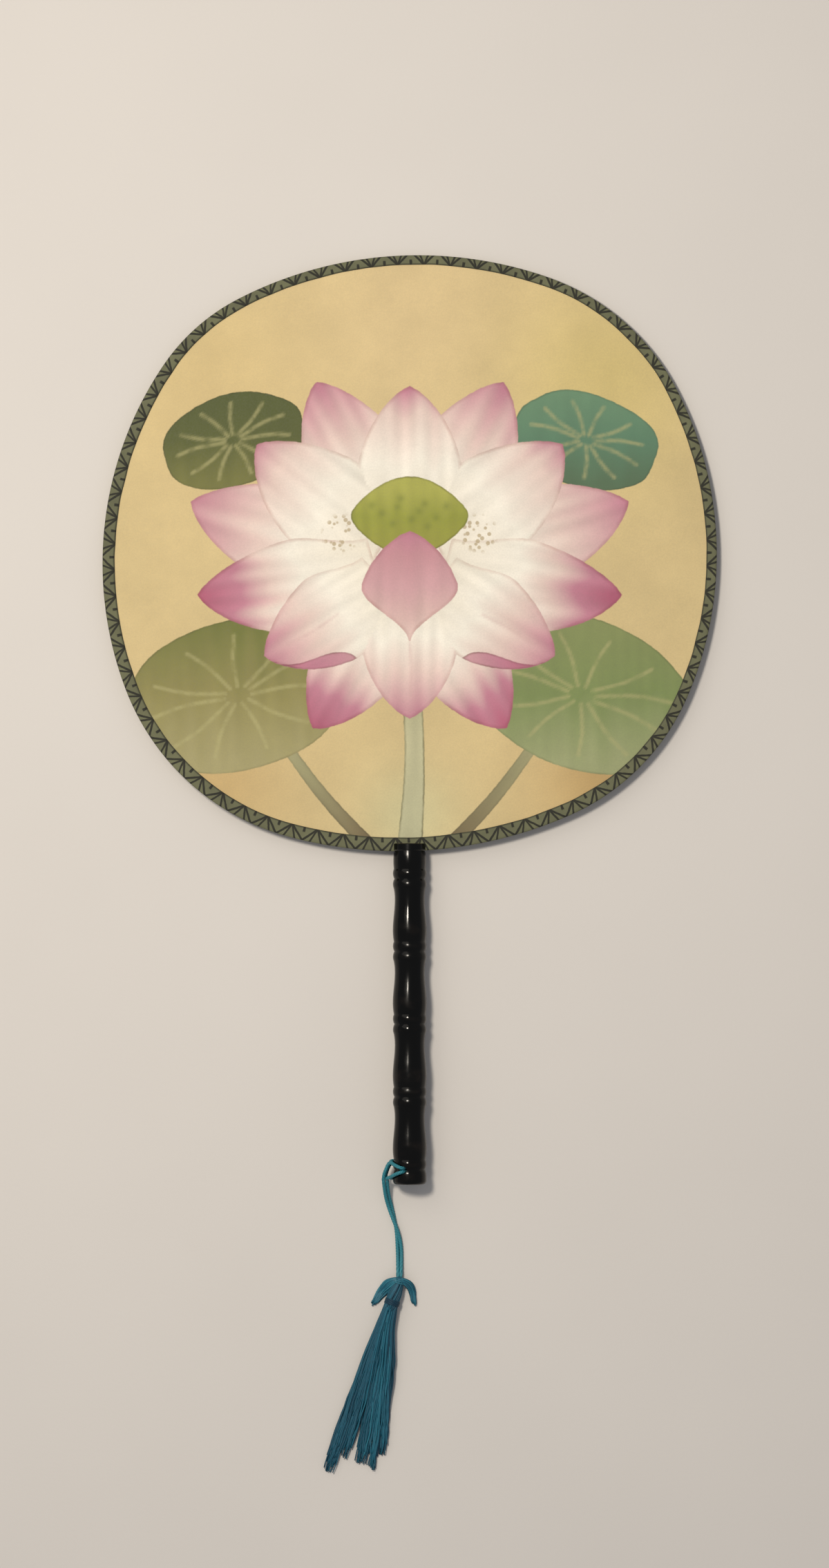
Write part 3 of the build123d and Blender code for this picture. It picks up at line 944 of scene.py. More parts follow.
LEAVES: tuple[Leaf, ...] = (
    round_leaf(Depth.LEAF_FRONT, (-70.0, -58.0), 48.0, 0),
    round_leaf(Depth.LEAF_FRONT, (70.0, -58.0), 48.0, 1),
    round_leaf(Depth.LEAF_FRONT, (-72.0, 46.0), 30.0, 2),
    round_leaf(Depth.LEAF_FRONT, (72.0, 46.0), 30.0, 3),
)
STALKS: tuple[Stalk, ...] = (
    Stalk(((0, -40), (2, -84), (0, -122)), (8, 8, 10),
          ((0, (150, 146, 104)), (0.4, STEM_PALE), (1, (178, 176, 140)))),
    *(Stalk(((side * 58, -68), (side * 36, -98), (side * 13, -123)), (4, 5, 6),
            ((0, (166, 164, 120)), (1, STEM_DARK)), Depth.LEAF_BACK) for side in (-1, 1)),
)
PETALS: tuple[Petal, ...] = (
    Petal(Depth.PETAL_FAR, (0, -42), (0, 30), 66, Tone.PALE, 0, 0.35, 0.4),
    *(petal for ring in RINGS for petal in ring.petals(FLOWER_HEART)),
)
FRONT_PETAL = Petal(Depth.PETAL_FRONT, (0, -36), (0, 9), 44, Tone.BUD, 0, 0.02, 0.52)
POD_RAMP: Ramp = ((0, (146, 146, 54)), (0.5, (142, 146, 50)), (1, (166, 166, 74)))
# Seeds on a sunflower spiral: seed k at the golden angle times k, out by the root of its share.
POD_SEEDS: tuple[Pair, ...] = tuple(
    (float(18 * np.sqrt((k + 0.5) / 11) * np.cos(2.4 * k)),
        float(17 + 7 * np.sqrt((k + 0.5) / 11) * np.sin(2.4 * k)))
    for k in range(11))

LEAF_LINES: tuple[Line, ...] = tuple(line for leaf in LEAVES for line in leaf.veins())
PETAL_LINES: tuple[Line, ...] = tuple(
    vein(petal.at(0.4), petal.at(0.86), 0.03, 0.4, (196, 160, 156), 0.35) for petal in PETALS
    if petal.depth is Depth.FOLD)


@dataclass
class Painting:
    """The water-colour on the silk: a ground, shapes layer by layer, thin lines and stamen specks."""

    ground: Colour = (206, 184, 132)
    ground_touches: tuple[Touch, ...] = (
        (0, 100, 60, (214, 190, 140), 0.8),
        (-80, 70, 40, (206, 182, 126), 0.7),
        (80, 70, 40, (202, 182, 112), 0.7),
        (-80, -92, 30, (190, 160, 104), 0.8),
        (80, -92, 30, (180, 146, 88), 0.8),
        (0, -108, 20, (198, 192, 146), 0.8),
    )
    pod_middle: Pair = (0, 15)
    pod_size: Pair = (24.0, 13.0)        # half length, half width
    edge_span: float = 20.0       # millimetres of distance that a layer's alpha of 0 to 1 stands for
    stamens: tuple[tuple[float, float, float, float], ...] = ((-28, 8, 8.0, 8.0), (28, 8, 8.0, 8.0))

    def washes(self) -> list[Wash]:
        """Every painted shape, in the order in which it is laid on within its layer.

        Returns:
            The washes, in the order in which they are laid on.
        """
        found = [leaf.wash() for leaf in LEAVES] + [stalk.wash() for stalk in STALKS]
        for petal in PETALS:
            found += petal.washes()
        angle = np.linspace(0.0, 2.0 * np.pi, 60, endpoint=False)
        long, wide = self.pod_size
        x, y = long * np.cos(angle), wide * np.sin(angle) * (1.0 - 0.25 * np.cos(2 * angle))
        loop = np.stack([self.pod_middle[0] + x, self.pod_middle[1] + y], -1)
        found.append(Wash(Depth.POD, loop, ((0, 3), (0, 26)), POD_RAMP, tuple(
            (px, py, 1.5, (112, 120, 42), 0.55) for px, py in POD_SEEDS), 0.08))
        return found + FRONT_PETAL.washes()

    def ground_colours(self, x: Array, y: Array) -> Array:
        """The first wash: the plain ground, soft touches of other tones, and slow cloudy streaks.

        Args:
            x: places across the face, in millimetres from its middle.
            y: places along it.

        Returns:
            (n, 3) linear colours.
        """
        found = np.tile(linear(self.ground), (len(x), 1))
        for px, py, reach, tone, strength in self.ground_touches:
            share = strength * np.exp(-(((x - px) ** 2 + (y - py) ** 2) / reach**2))
            found += share[:, None] * (linear(tone) - found)
        return found * (1.0 + 0.035 * ripple(x / 14.0, y / 20.0, 5))[:, None]

    def layers(self, x: Array, y: Array) -> dict[str, Array]:
        """Each layer as one colour with alpha for each place.

        Within a layer the shape that a place lies deepest inside gives the colour, and outside
        them all the nearest one does, so a colour runs on past its own edge; alpha is 0.5 plus
        the signed distance over edge_span, held to 0 to 1.

        Args:
            x: places across the face, in millimetres from its middle.
            y: places along it.

        Returns:
            (n, 4) arrays under each layer's name, from the first wash to the last.
        """
        found, washes = {}, self.washes()
        for depth in Depth:
            best = np.full(len(x), -0.5 * self.edge_span)
            colour = np.full((len(x), 3), 0.3)
            for index, wash in enumerate(washes):
                if wash.depth is not depth:
                    continue
                low, high = wash.loop.min(0) - 6.0, wash.loop.max(0) + 6.0
                near = np.nonzero((x > low[0]) & (x < high[0]) & (y > low[1]) & (y < high[1]))[0]
                gap = signed_distance(x[near], y[near], wash.loop)
                wins = gap > best[near]
                near = near[wins]
                best[near] = gap[wins]
                colour[near] = wash.colours(x[near], y[near], 100 + index)
            alpha = np.clip(0.5 + best / self.edge_span, 0.0, 1.0)
            found[depth.name.lower()] = np.column_stack([colour, alpha])
        return found

    def strokes(self, x: Array, y: Array, lines: tuple[Line, ...]) -> Array:
        """Painted lines as a colour with alpha: full in a line's middle, gone past its half width.

        Args:
            x: places across the face, in millimetres from its middle.
            y: places along it.
            lines: the lines, the last on top.

        Returns:
            (n, 4) colours with alpha.
        """
        colour, alpha = np.full((len(x), 3), 0.4), np.zeros(len(x))
        for width, tone, strength, places in lines:
            line = curve_through(np.array(places, float))
            low, high = line.min(0) - 3.0, line.max(0) + 3.0
            near = np.nonzero((x > low[0]) & (x < high[0]) & (y > low[1]) & (y < high[1]))[0]
            gap = line_distance(x[near], y[near], line)
            share = strength * (1.0 - smooth_step(width * 0.5, width + 0.7, gap))
            wins = gap < width + 1.6
            colour[near[wins]] = linear(tone)
            alpha[near] = np.maximum(alpha[near], share)
        return np.column_stack([colour, alpha])

    def specks(self, x: Array, y: Array) -> Array:
        """Where stamens are dotted in: 1 inside soft ellipses, 0 outside.

        Args:
            x: places across the face, in millimetres from its middle.
            y: places along it.

        Returns:
            One share for each place.
        """
        share = np.zeros(len(x))
        for px, py, wide, tall in self.stamens:
            away = np.hypot((x - px) / wide, (y - py) / tall)
            share = np.maximum(share, 1.0 - smooth_step(0.75, 1.1, away))
        return share

    def flattened(self, x: Array, y: Array, softness: float) -> Array:
        """All layers laid over each other into one colour for each place, with edges this soft.

        Args:
            x: places across the face, in millimetres from its middle.
            y: places along it.
            softness: the width over which an edge fades, mm.

        Returns:
            (n, 3) linear colours.
        """
        found = self.ground_colours(x, y)
        for layer in self.layers(x, y).values():
            share = np.clip(0.5 + (layer[:, 3] - 0.5) * self.edge_span / softness, 0.0, 1.0)[:, None]
            found = found + share * (layer[:, :3] - found)
        return found


# ------------------------------------------------------------------ finishes
@dataclass(frozen=True)
class PaintedSilk:
    """Water-colour on fine stretched silk."""

    edge: float = 0.4             # softness of a shape's edge, mm
    rims: Pair = (1.5, 0.9)       # width of the darker line where a petal's and a leaf's wash dried, mm
    wobble: float = 0.7           # how far a wash creeps along the threads, mm
    petal_tint: Colour = (196, 156, 152)
    leaf_tint: Colour = (140, 132, 88)
    speck: Colour = (172, 152, 112)
    thread: float = 0.32          # pitch of the weave, mm

    def material(self, span: float) -> bpy.types.Material:
        """Lay the painting's layers over each other in order.

        Args:
            span: the millimetres that a layer's alpha of 0 to 1 stands for.

        Returns:
            The material.
        """
        s = Shader("painted_silk", (206, 184, 132), 0.62, Sheen_Weight=0.12, Sheen_Roughness=0.5)
        spots = s.places()
        creep = s.math("SUBTRACT", s.noise(spots, 420.0, 3.0, 0.6), 0.5)
        creep = s.math("MULTIPLY", creep, self.wobble)
        uneven = s.remap(s.noise(spots, 120.0, 2.0), 0.35, 0.65, 0.35, 1.0)
        colour = s.attribute("ground").outputs["Color"]
        for depth in Depth:
            layer = s.attribute(depth.name.lower())
            away = s.math("MULTIPLY", s.math("SUBTRACT", layer.outputs["Alpha"], 0.5), span)
            away = s.math("ADD", away, creep)
            mask = s.math("ADD", s.math("DIVIDE", away, self.edge), 0.5, clamp=True)
            leafy = depth in (Depth.LEAF_BACK, Depth.LEAF_FRONT, Depth.STEM, Depth.POD)
            tint = rgba(self.leaf_tint if leafy else self.petal_tint)
            dried = s.remap(away, 0.0, self.rims[leafy], depth.value, 0.0)
            dried = s.math("MULTIPLY", dried, uneven)
            tone = s.mix(dried, layer.outputs["Color"], tint, "MULTIPLY")
            tone = s.mix(s.math("MULTIPLY", dried, 1.5), tone, tint, "MULTIPLY")
            colour = s.mix(mask, colour, tone)
            if depth in (Depth.LEAF_FRONT, Depth.FOLD):
                lines = s.attribute("veins" if depth is Depth.LEAF_FRONT else "contours")
                broken = s.remap(s.noise(spots, 260.0, 2.0), 0.3, 0.55, 0.35, 1.0)
                colour = s.mix(s.math("MULTIPLY", lines.outputs["Alpha"], broken), colour,
                    lines.outputs["Color"])
            if depth is Depth.FOLD:
                cells = s.node("TexVoronoi", {"Vector": spots, "Scale": 430.0, "Randomness": 1.0})
                dots = s.remap(cells.outputs["Distance"], 0.30, 0.44, 0.75, 0.0)
                dots = s.math("MULTIPLY", dots, s.attribute("stamens").outputs["Fac"])
                colour = s.mix(dots, colour, rgba(self.speck))
        grain = s.remap(s.noise(spots, 1500.0, 2.0), 0.3, 0.7, 0.955, 1.045)
        clouds = s.remap(s.noise(spots, 45.0, 7.0, 0.66), 0.3, 0.7, 0.925, 1.055)
        colour = s.shaded(colour, s.math("MULTIPLY", grain, clouds))
        weave = self.weave(s)
        return s.finish(colour, s.remap(grain, 0.95, 1.05, 0.56, 0.70), s.bump(weave, 0.00004, 0.6))

    def weave(self, s: Shader) -> bpy.types.NodeSocket:
        """Height of a plain weave: the product of two sines along the threads.

        Args:
            s: the material being made.

        Returns:
            The height, from 0 to 1.
        """
        turn = 2.0 * np.pi / (self.thread * MM)
        axes = s.node("SeparateXYZ", {0: s.places()}).outputs
        waves = [s.math("SINE", s.math("MULTIPLY", axes[i], turn)) for i in (0, 1)]
        return s.remap(s.math("MULTIPLY", *waves), -1.0, 1.0, 0.0, 1.0)


@dataclass(frozen=True)
class PlainSilk:
    """The unpainted back: plain silk with the painting faintly soaked through."""

    colour: Colour = (214, 200, 162)
    soaked: float = 0.34

    def material(self, weave: PaintedSilk) -> bpy.types.Material:
        """Mix the soaked colours into the plain one and give it the front's weave.

        Args:
            weave: the front's finish, whose weave the back shares.

        Returns:
            The material.
        """
        s = Shader("plain_silk", self.colour, 0.66, Sheen_Weight=0.12, Sheen_Roughness=0.5)
        spots = s.places()
        share = s.remap(s.noise(spots, 60.0, 3.0), 0.3, 0.7, self.soaked * 0.7, self.soaked * 1.25)
        colour = s.mix(share, rgba(self.colour), s.attribute("ground").outputs["Color"])
        grain = s.remap(s.noise(spots, 1500.0, 2.0), 0.3, 0.7, 0.95, 1.04)
        colour = s.shaded(colour, grain)
        return s.finish(colour, None, s.bump(weave.weave(s), 0.00004, 0.6))


@dataclass(frozen=True)
class BrocadeTrim:
    """Woven trim: olive grey, with near-black nested peaks, a short tick between two peaks, and painted
    shade along the flap's inner edge.
    """

    ground: Colour = (100, 101, 72)
    line: Colour = (28, 28, 12)
    slopes: tuple[float, float] = (0.98, 0.42)      # how fast each pair of lines spreads from its peak
    half_widths: tuple[float, float] = (0.60, 0.42)
    tick: tuple[float, float] = (0.55, 2.2)         # half width and length of the tick

    def material(self, period: float) -> bpy.types.Material:
        """Draw the pattern over the trim's own map.

        The map's u counts repeats along the rim and v is the distance from the flap's inner edge
        in units of 10 mm. With a the distance from the nearest peak, a line is where a less slope
        times v is small; a tick is where a is nearly half a repeat and v is short. A dark band
        that fades out by 0.85 mm from the flap's inner edge is painted shade of the trim's edge.

        Args:
            period: length of one repeat in millimetres.

        Returns:
            The material.
        """
        s = Shader("brocade_trim", self.ground, 0.72, Sheen_Weight=0.25, Sheen_Roughness=0.4)
        u, v, _ = s.node("SeparateXYZ", {0: s.node("UVMap", uv_map="trim").outputs[0]}).outputs
        u, v = s.math("ADD", u, 0.49), s.math("MULTIPLY", v, 10.0)
        jitter = s.math("MULTIPLY", s.math("SUBTRACT", s.noise(s.places(), 500.0), 0.5), 0.5)
        a = s.math("MULTIPLY", s.math("ABSOLUTE", s.math("SUBTRACT", s.math("FRACT", u), 0.5)), period)
        a = s.math("ADD", a, jitter)
        marks = None
        for slope, half in zip(self.slopes, self.half_widths):
            away = s.math("ABSOLUTE", s.math("SUBTRACT", a, s.math("MULTIPLY", v, slope)))
            mark = s.remap(away, half - 0.12, half + 0.12, 1.0, 0.0)
            marks = mark if marks is None else s.math("MAXIMUM", marks, mark)
        half, length = self.tick
        near = s.remap(s.math("SUBTRACT", period / 2, a), half - 0.12, half + 0.12, 1.0, 0.0)
        short = s.remap(v, length - 0.2, length + 0.2, 1.0, 0.0)
        marks = s.math("MAXIMUM", marks, s.math("MULTIPLY", near, short))
        # Painted shade: a dark band along the flap's inner edge, fading out by 0.85 mm, standing for
        # the trim edge's shadow; it also raises the bump.
        edge = s.remap(v, 0.35, 0.85, 0.7, 0.0)
        marks = s.math("MAXIMUM", marks, edge)
        threads = s.math("SINE", s.math("MULTIPLY", u, 2.0 * np.pi * period / 0.45))
        rows = s.math("SINE", s.math("MULTIPLY", v, 2.0 * np.pi / 0.5))
        weave = s.remap(s.math("MULTIPLY", threads, rows), -1.0, 1.0, 0.0, 1.0)
        worn = s.remap(s.noise(s.places(), 90.0, 3.0), 0.3, 0.7, 0.82, 1.15)
        light = s.math("MULTIPLY", worn, s.remap(weave, 0.0, 1.0, 0.88, 1.10))
        tone = s.mix(marks, rgba(self.ground), rgba(self.line))
        tone = s.shaded(tone, light)
        height = s.math("ADD", s.math("MULTIPLY", weave, 0.5), s.math("MULTIPLY", marks, 0.6))
        return s.finish(tone, None, s.bump(height, 0.00010, 0.8))


@dataclass(frozen=True)
class BlackLacquer:
    """Glossy black lacquer on turned wood, a little rubbed on its ridges, with faint grain."""

    colour: Colour = (5, 5, 4)
    rubbed: Colour = (22, 17, 13)
    crest: float = 6.78           # beyond this distance from the axis the lacquer is handled most

    def material(self, plane: FanPlane) -> bpy.types.Material:
        """Rub the crests, found by their distance from the handle's axis, and lay a drawn-out grain.

        Args:
            plane: the fan's flat frame, whose along line is the axis.

        Returns:
            The material.
        """
        s = Shader("black_lacquer", self.colour, 0.14, Specular_IOR_Level=0.2)
        tilt = float(np.arctan2(plane.along[2], plane.along[1]))
        centred = s.node("VectorMath", {0: s.places(), 1: tuple((-plane.origin).tolist())},
            operation="ADD").outputs[0]
        turned = s.node("Mapping", {"Vector": centred, "Rotation": (-tilt, 0.0, 0.0)}).outputs[0]
        x, _, z = s.node("SeparateXYZ", {0: turned}).outputs
        reach = s.math("SQRT", s.math("ADD", s.math("MULTIPLY", x, x), s.math("MULTIPLY", z, z)))
        crest = s.remap(reach, (self.crest - 0.05) * MM, (self.crest + 0.1) * MM, 0.0, 1.0)
        patches = s.remap(s.noise(s.places(), 160.0, 4.0), 0.45, 0.7, 0.0, 0.8)
        worn = s.math("MULTIPLY", crest, patches)
        grain = s.noise(s.node("Mapping", {"Vector": turned, "Scale": (1.0, 0.06, 1.0)}).outputs[0],
            900.0, 3.0)
        smears = s.remap(s.noise(s.places(), 70.0, 3.0), 0.35, 0.7, 0.09, 0.22)
        rough = s.math("ADD", smears, s.math("MULTIPLY", worn, 0.18))
        tone = s.mix(worn, rgba(self.colour), rgba(self.rubbed))
        return s.finish(tone, rough, s.bump(grain, 0.00004, 0.35))


@dataclass(frozen=True)
class DrawnWire:
    """Plain drawn steel wire, dulled in streaks."""

    colour: Colour = (172, 172, 176)

    def material(self) -> bpy.types.Material:
        """Bright metal with dull streaks.

        Returns:
            The material.
        """
        s = Shader("drawn_wire", self.colour, 0.35, Metallic=1.0)
        spots = s.noise(s.places((400.0, 60.0, 400.0)), 3.0, 3.0)
        tone = s.mix(s.remap(spots, 0.45, 0.7, 0.0, 0.5), rgba(self.colour), rgba((116, 108, 98)))
        return s.finish(tone, s.remap(spots, 0.3, 0.7, 0.28, 0.5), None)


@dataclass(frozen=True)
class DyedYarn:
    """Soft dyed thread: painted shade in the grooves of its twist, uneven from strand to strand, with a
    pale sheen.
    """

    name: str
    colour: Colour
    # The darkest yarn colour; also the colour of the painted shade in the grooves.
    shade: Colour
    light: Colour

    def material(self) -> bpy.types.Material:
        """Mix by the strand's own tint, and darken by how deep the place lies in the twist: painted
        shade.

        Returns:
            The material.
        """
        s = Shader(self.name, self.colour, 0.58, Sheen_Weight=0.2, Sheen_Roughness=0.35)
        s.base.inputs["Sheen Tint"].default_value = rgba(self.light)
        tint, ridge = s.attribute("tint").outputs["Fac"], s.attribute("ridge").outputs["Fac"]
        fibres = s.noise(s.places((1.0, 0.35, 1.0)), 2600.0, 2.0)
        tone = s.mix(s.remap(tint, 0.0, 1.0, 0.0, 1.0), rgba(self.shade), rgba(self.colour))
        tone = s.mix(s.remap(tint, 0.75, 1.0, 0.0, 0.55), tone, rgba(self.light))
        # Painted shade: places deep in the twist's grooves are mixed towards the shade colour.
        deep = s.remap(ridge, 0.2, 0.9, 0.55, 0.0)
        tone = s.mix(deep, tone, rgba(self.shade))
        light = s.remap(fibres, 0.3, 0.7, 0.85, 1.15)
        tone = s.shaded(tone, light)
        return s.finish(tone, None, s.bump(fibres, 0.00005, 0.5))


@dataclass(frozen=True)
class Paper:
    """The plain pale ground on which the fan lies."""

    colour: Colour = (214, 209, 203)

    def material(self) -> bpy.types.Material:
        """Matt, with a very faint unevenness.

        Returns:
            The material.
        """
        s = Shader("pale_ground", self.colour, 0.9)
        light = s.remap(s.noise(s.places(), 9.0, 3.0), 0.3, 0.7, 0.985, 1.01)
        tone = s.shaded(rgba(self.colour), light)
        return s.finish(tone, None, s.bump(s.noise(s.places(), 700.0, 3.0), 0.00008, 0.5))


# ------------------------------------------------------------------ what every sub-assembly does
def dress(piece: bpy.types.Object, finish: bpy.types.Material, body: Body,
    stands_for: tuple[str, ...] = ()) -> bpy.types.Object:
    """Give a new piece its material, its body and the nodes that it stands for.

    Args:
        piece: the new piece.
        finish: its material.
        body: the body it rides.
        stands_for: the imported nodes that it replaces.

    Returns:
        The same piece.
    """
    piece.data.materials.append(finish)
    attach(piece, body.value)
    if stands_for:
        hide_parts(*stands_for)
    log.info("%s: %d faces, %s finish, rides %s", piece.name, len(piece.data.polygons), finish.name,
        body.value)
    return piece


def polish(node: str, finish: bpy.types.Material) -> None:
    """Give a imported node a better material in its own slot.

    Args:
        node: the node's name.
        finish: its new material.
    """
    piece = frame["nodes"][node]
    for place in piece.material_slots:
        place.material = finish
    log.info("%s: packed mesh kept, %s finish", node, finish.name)


# ------------------------------------------------------------------ camera, floor and light
@dataclass
class Studio:
    """A camera straight above, a plain pale floor, and soft light from the upper left."""

    middle: Pair = (1.97, -26.3)
    frame_height: float = 639.4
    camera_height: float = 3000.0
    level: float = 5.0            # the height at which the frame's height is measured
    sensor: float = 36.0
    far_clip: float = 20.0        # metres
    floor_size: float = 4000.0
    floor_drop: float = 0.02      # below the object, so that the two never share a plane
    key_place: Triple = (-290.0, 200.0, 1050.0)
    key_size: float = 170.0
    key_power: float = 8.2
    fill_place: Triple = (-900.0, 900.0, 1300.0)
    fill_size: float = 1200.0
    fill_power: float = 5.0
    key_colour: Colour = (255, 246, 232)
    sky: Colour = (206, 208, 214)
    sky_strength: float = 0.52

    def camera(self) -> None:
        """Set the camera so that the frame's height covers frame_height at the fan's level."""
        lens = bpy.data.cameras.new("camera")
        lens.sensor_fit, lens.sensor_height = "VERTICAL", self.sensor
        lens.lens = self.sensor * (self.camera_height - self.level) / self.frame_height
        lens.clip_end = self.far_clip
        holder = bpy.data.objects.new("camera", lens)
        holder.location = (self.middle[0] * MM, self.middle[1] * MM, self.camera_height * MM)
        bpy.context.scene.collection.objects.link(holder)
        bpy.context.scene.camera = holder

    def floor(self) -> None:
        """A wide level sheet just under the object, four corners at half the size from the middle."""
        half = 0.5 * self.floor_size * MM
        corners = np.array([[-half, -half, 0], [half, -half, 0], [half, half, 0], [-half, half, 0]])
        ground = make_piece("floor", corners - np.array([0, 0, self.floor_drop * MM]),
            [np.array([[0, 1, 2, 3]])], False)
        ground.data.materials.append(Paper().material())

    def lamp(self, name: str, place: tuple[float, float, float], size: float, power: float) -> None:
        """A square area lamp turned to the middle of the floor.

        Args:
            name: the lamp's name.
            place: where it hangs, in millimetres.
            size: its side in millimetres.
            power: watts.
        """
        light = bpy.data.lights.new(name, "AREA")
        light.size, light.energy, light.color = size * MM, power, tuple(
            linear(self.key_colour).tolist())
        holder = bpy.data.objects.new(name, light)
        holder.location = Vector(place) * MM
        holder.rotation_euler = (-Vector(place)).to_track_quat("-Z", "Y").to_euler()
        bpy.context.scene.collection.objects.link(holder)

    def build(self) -> None:
        """Camera, floor, lamps and sky."""
        self.camera()
        self.floor()
        self.lamp("key", self.key_place, self.key_size, self.key_power)
        self.lamp("fill", self.fill_place, self.fill_size, self.fill_power)
        world = bpy.data.worlds.new("sky")
        world.use_nodes = True
        back = next(n for n in world.node_tree.nodes if n.type == "BACKGROUND")
        back.inputs["Color"].default_value = rgba(self.sky)
        back.inputs["Strength"].default_value = self.sky_strength
        bpy.context.scene.world = world
        bpy.context.scene.view_settings.view_transform = "Standard"
        log.info("camera, floor, two lamps and sky")


# ------------------------------------------------------------------ cord
@dataclass
class DoubledCord:
    """The two strands of the cord on the floor, and the two turns of the hitch round the handle."""

    plane: FanPlane
    finish: bpy.types.Material
    swing: tuple[float, float] = (-10.0, -186.2129)
    diameter: float = 1.35
    plies: int = 3
    drawn: float = 1.56           # with its soft pile, which the diameter leaves out
    flute: float = 0.28
    lay: float = 3.4
    left: tuple[Triple, ...] = (
        (-0.70, -1.2, 7.9), (-0.15, -7.0, 4.9), (1.20, -12.3, 2.2), (3.05, -17.3, 2.4),
        (5.10, -22.3, 2.3),
        (6.45, -27.7, 1.1), (6.75, -33.9, 0.8), (6.30, -42.4, 2.5))
    right: tuple[Triple, ...] = (
        (0.80, -1.2, 7.5), (1.15, -6.7, 3.9), (2.50, -12.0, 0.9), (3.75, -17.5, 0.75),
        (4.65, -22.7, 0.72),
        (4.95, -28.1, 0.75), (5.20, -34.4, 0.8), (5.22, -42.4, 2.5))
    lengths: tuple[float, float] = (42.20, 41.92)
    hole_y: float = 6.1
    hole_lean: float = 24.0
    bight: tuple[tuple[Triple, ...], ...] = (
        ((-10.71, -187.5, 7.85), (-10.3, -185.0, 9.0), (-9.45, -182.8, 9.6), (-8.7, -181.2, 9.9),
            (-7.7, -180.2, 9.9)),
        ((-9.2, -187.5, 7.4), (-9.1, -186.9, 8.6), (-8.5, -186.6, 9.7), (-7.6, -186.4, 9.9)),
        ((-9.9, -186.9, 6.6), (-9.5, -184.9, 6.6), (-8.7, -182.6, 6.7), (-7.6, -180.5, 6.9)))
    hitch_radius: float = 8.06
    hitch_fold: float = 1.5
    hitch_spread: float = 20.0
    hitch_steps: tuple[int, int, int] = (24, 12, 90)     # places in the hole, on a fold, on the arc
    pitch: float = 1.40

    def centre_line(self, route: tuple[Triple, ...]) -> Array:
        """Places along a smooth NURBS spline whose control points are the route's, in metres.

        Args:
            route: places from the cord's own start, in millimetres.

        Returns:
            (n, 3) places.
        """
        points = np.array(route) + np.array([*self.swing, 0.0])
        curve = bpy.data.curves.new("cord_line", "CURVE")
        curve.dimensions, curve.resolution_u = "3D", 16
        spline = curve.splines.new("NURBS")
        spline.points.add(len(points) - 1)
        spline.points.foreach_set("co", np.column_stack([points * MM, np.ones(len(points))]).ravel())
        spline.order_u = 3
        spline.use_endpoint_u = True
        holder = bpy.data.objects.new("cord_line", curve)
        mesh = bpy.data.meshes.new_from_object(holder)
        found = np.empty(len(mesh.vertices) * 3)
        mesh.vertices.foreach_get("co", found)
        bpy.data.objects.remove(holder)
        bpy.data.meshes.remove(mesh)
        bpy.data.curves.remove(curve)
        return found.reshape(-1, 3)

    def rope(self, name: str, line: Array, closed: bool, reference: Array) -> bpy.types.Object:
        """A fluted tube of the cord's diameter along a line in metres.

        Args:
            name: the piece's name.
            line: (n, 3) places.
            closed: whether it joins its own start.
            reference: the way its section faces first.

        Returns:
            The piece.
        """
        tube = Tubes(line[None], 0.5 * self.drawn * MM, reference, 18, self.plies, self.flute,
            self.lay * MM, closed)
        places, faces, facts = tube.surface()
        piece = make_piece(name, places, faces)
        set_values(piece, "ridge", facts[:, 3])
        set_values(piece, "tint", np.full(len(places), 0.72))
        return piece

    def strand(self, name: str, route: tuple[Triple, ...]) -> tuple[bpy.types.Object, Array]:
        """One strand of the doubled cord, and its centre line.

        Args:
            name: the piece's name.
            route: its route's places.

        Returns:
            The piece and its line.
        """
        line = self.centre_line(route)
        piece = self.rope(name, line, False, np.array([0.0, 0.0, 1.0]))
        return dress(piece, self.finish, Body.CORD,
            (name.replace("cord_rope", "cord_strand"),)), line

    def hitch_line(self, side: int) -> tuple[Array, Array]:
        """Centre line of one turn of the hitch, laid on the fan, in metres.

        In the turn's own plane, X out of the handle's left side and Y along the hole: a straight
        run through the hole, two small folds at its mouths, and a long arc about the handle.

        Args:
            side: 1 for the upper turn, -1 for the lower.

        Returns:
            The line, and the way square to its plane in the flat frame.
        """
        fold, outer = self.hitch_fold, self.hitch_radius
        straight = np.sqrt((outer - fold) ** 2 - fold**2)
        meets = float(np.arctan2(straight, fold))
        through, small, round_handle = self.hitch_steps
        run = np.linspace(-straight, straight, through, endpoint=False)
        near = np.linspace(np.pi, meets, small, endpoint=False)
        long = np.linspace(meets, -meets, round_handle, endpoint=False)
        far = np.linspace(-meets, -np.pi, small, endpoint=False)
        x = np.concatenate(
            [0 * run, fold + fold * np.cos(near), outer * np.cos(long), fold + fold * np.cos(far)])
        y = np.concatenate(
            [run, straight + fold * np.sin(near), outer * np.sin(long), -straight + fold * np.sin(far)])
        lean, spread = np.radians(self.hole_lean), np.radians(self.hitch_spread) * side
        along = np.array([-np.sin(lean), 0.0, np.cos(lean)])
        left = np.array(
            [-np.cos(lean) * np.cos(spread), np.sin(spread), -np.sin(lean) * np.cos(spread)])
        origin = np.array([0.0, self.hole_y + side * self.pitch / 2, 0.0])
        return self.plane.lay(origin + x[:, None] * left + y[:, None] * along), np.cross(left, along)

    def build(self) -> list[bpy.types.Object]:
        """Both strands and both turns of the hitch.

        Returns:
            The strands' pieces with their centre lines.
        """
        strands = [self.strand("cord_rope_left", self.left), self.strand("cord_rope_right", self.right)]
        for name, side in (("upper", 1), ("lower", -1)):
            line, square = self.hitch_line(side)
            across = square[0] * np.array([1.0, 0, 0]) + square[1] * self.plane.along + square[
                2] * self.plane.normal
            piece = self.rope(f"hitch_turn_{name}", line, True, across)
            dress(piece, self.finish, Body.FAN, (f"cord_hitch_{name}",))
        runs = [self.rope(f"hitch_run_{index}", curve_through(np.array(run), 8) * MM, False,
            np.array([0.0, 0.0, 1.0]))
                for index, run in enumerate(self.bight)]
        dress(joined("hitch_bight", runs), self.finish, Body.FAN)
        return strands


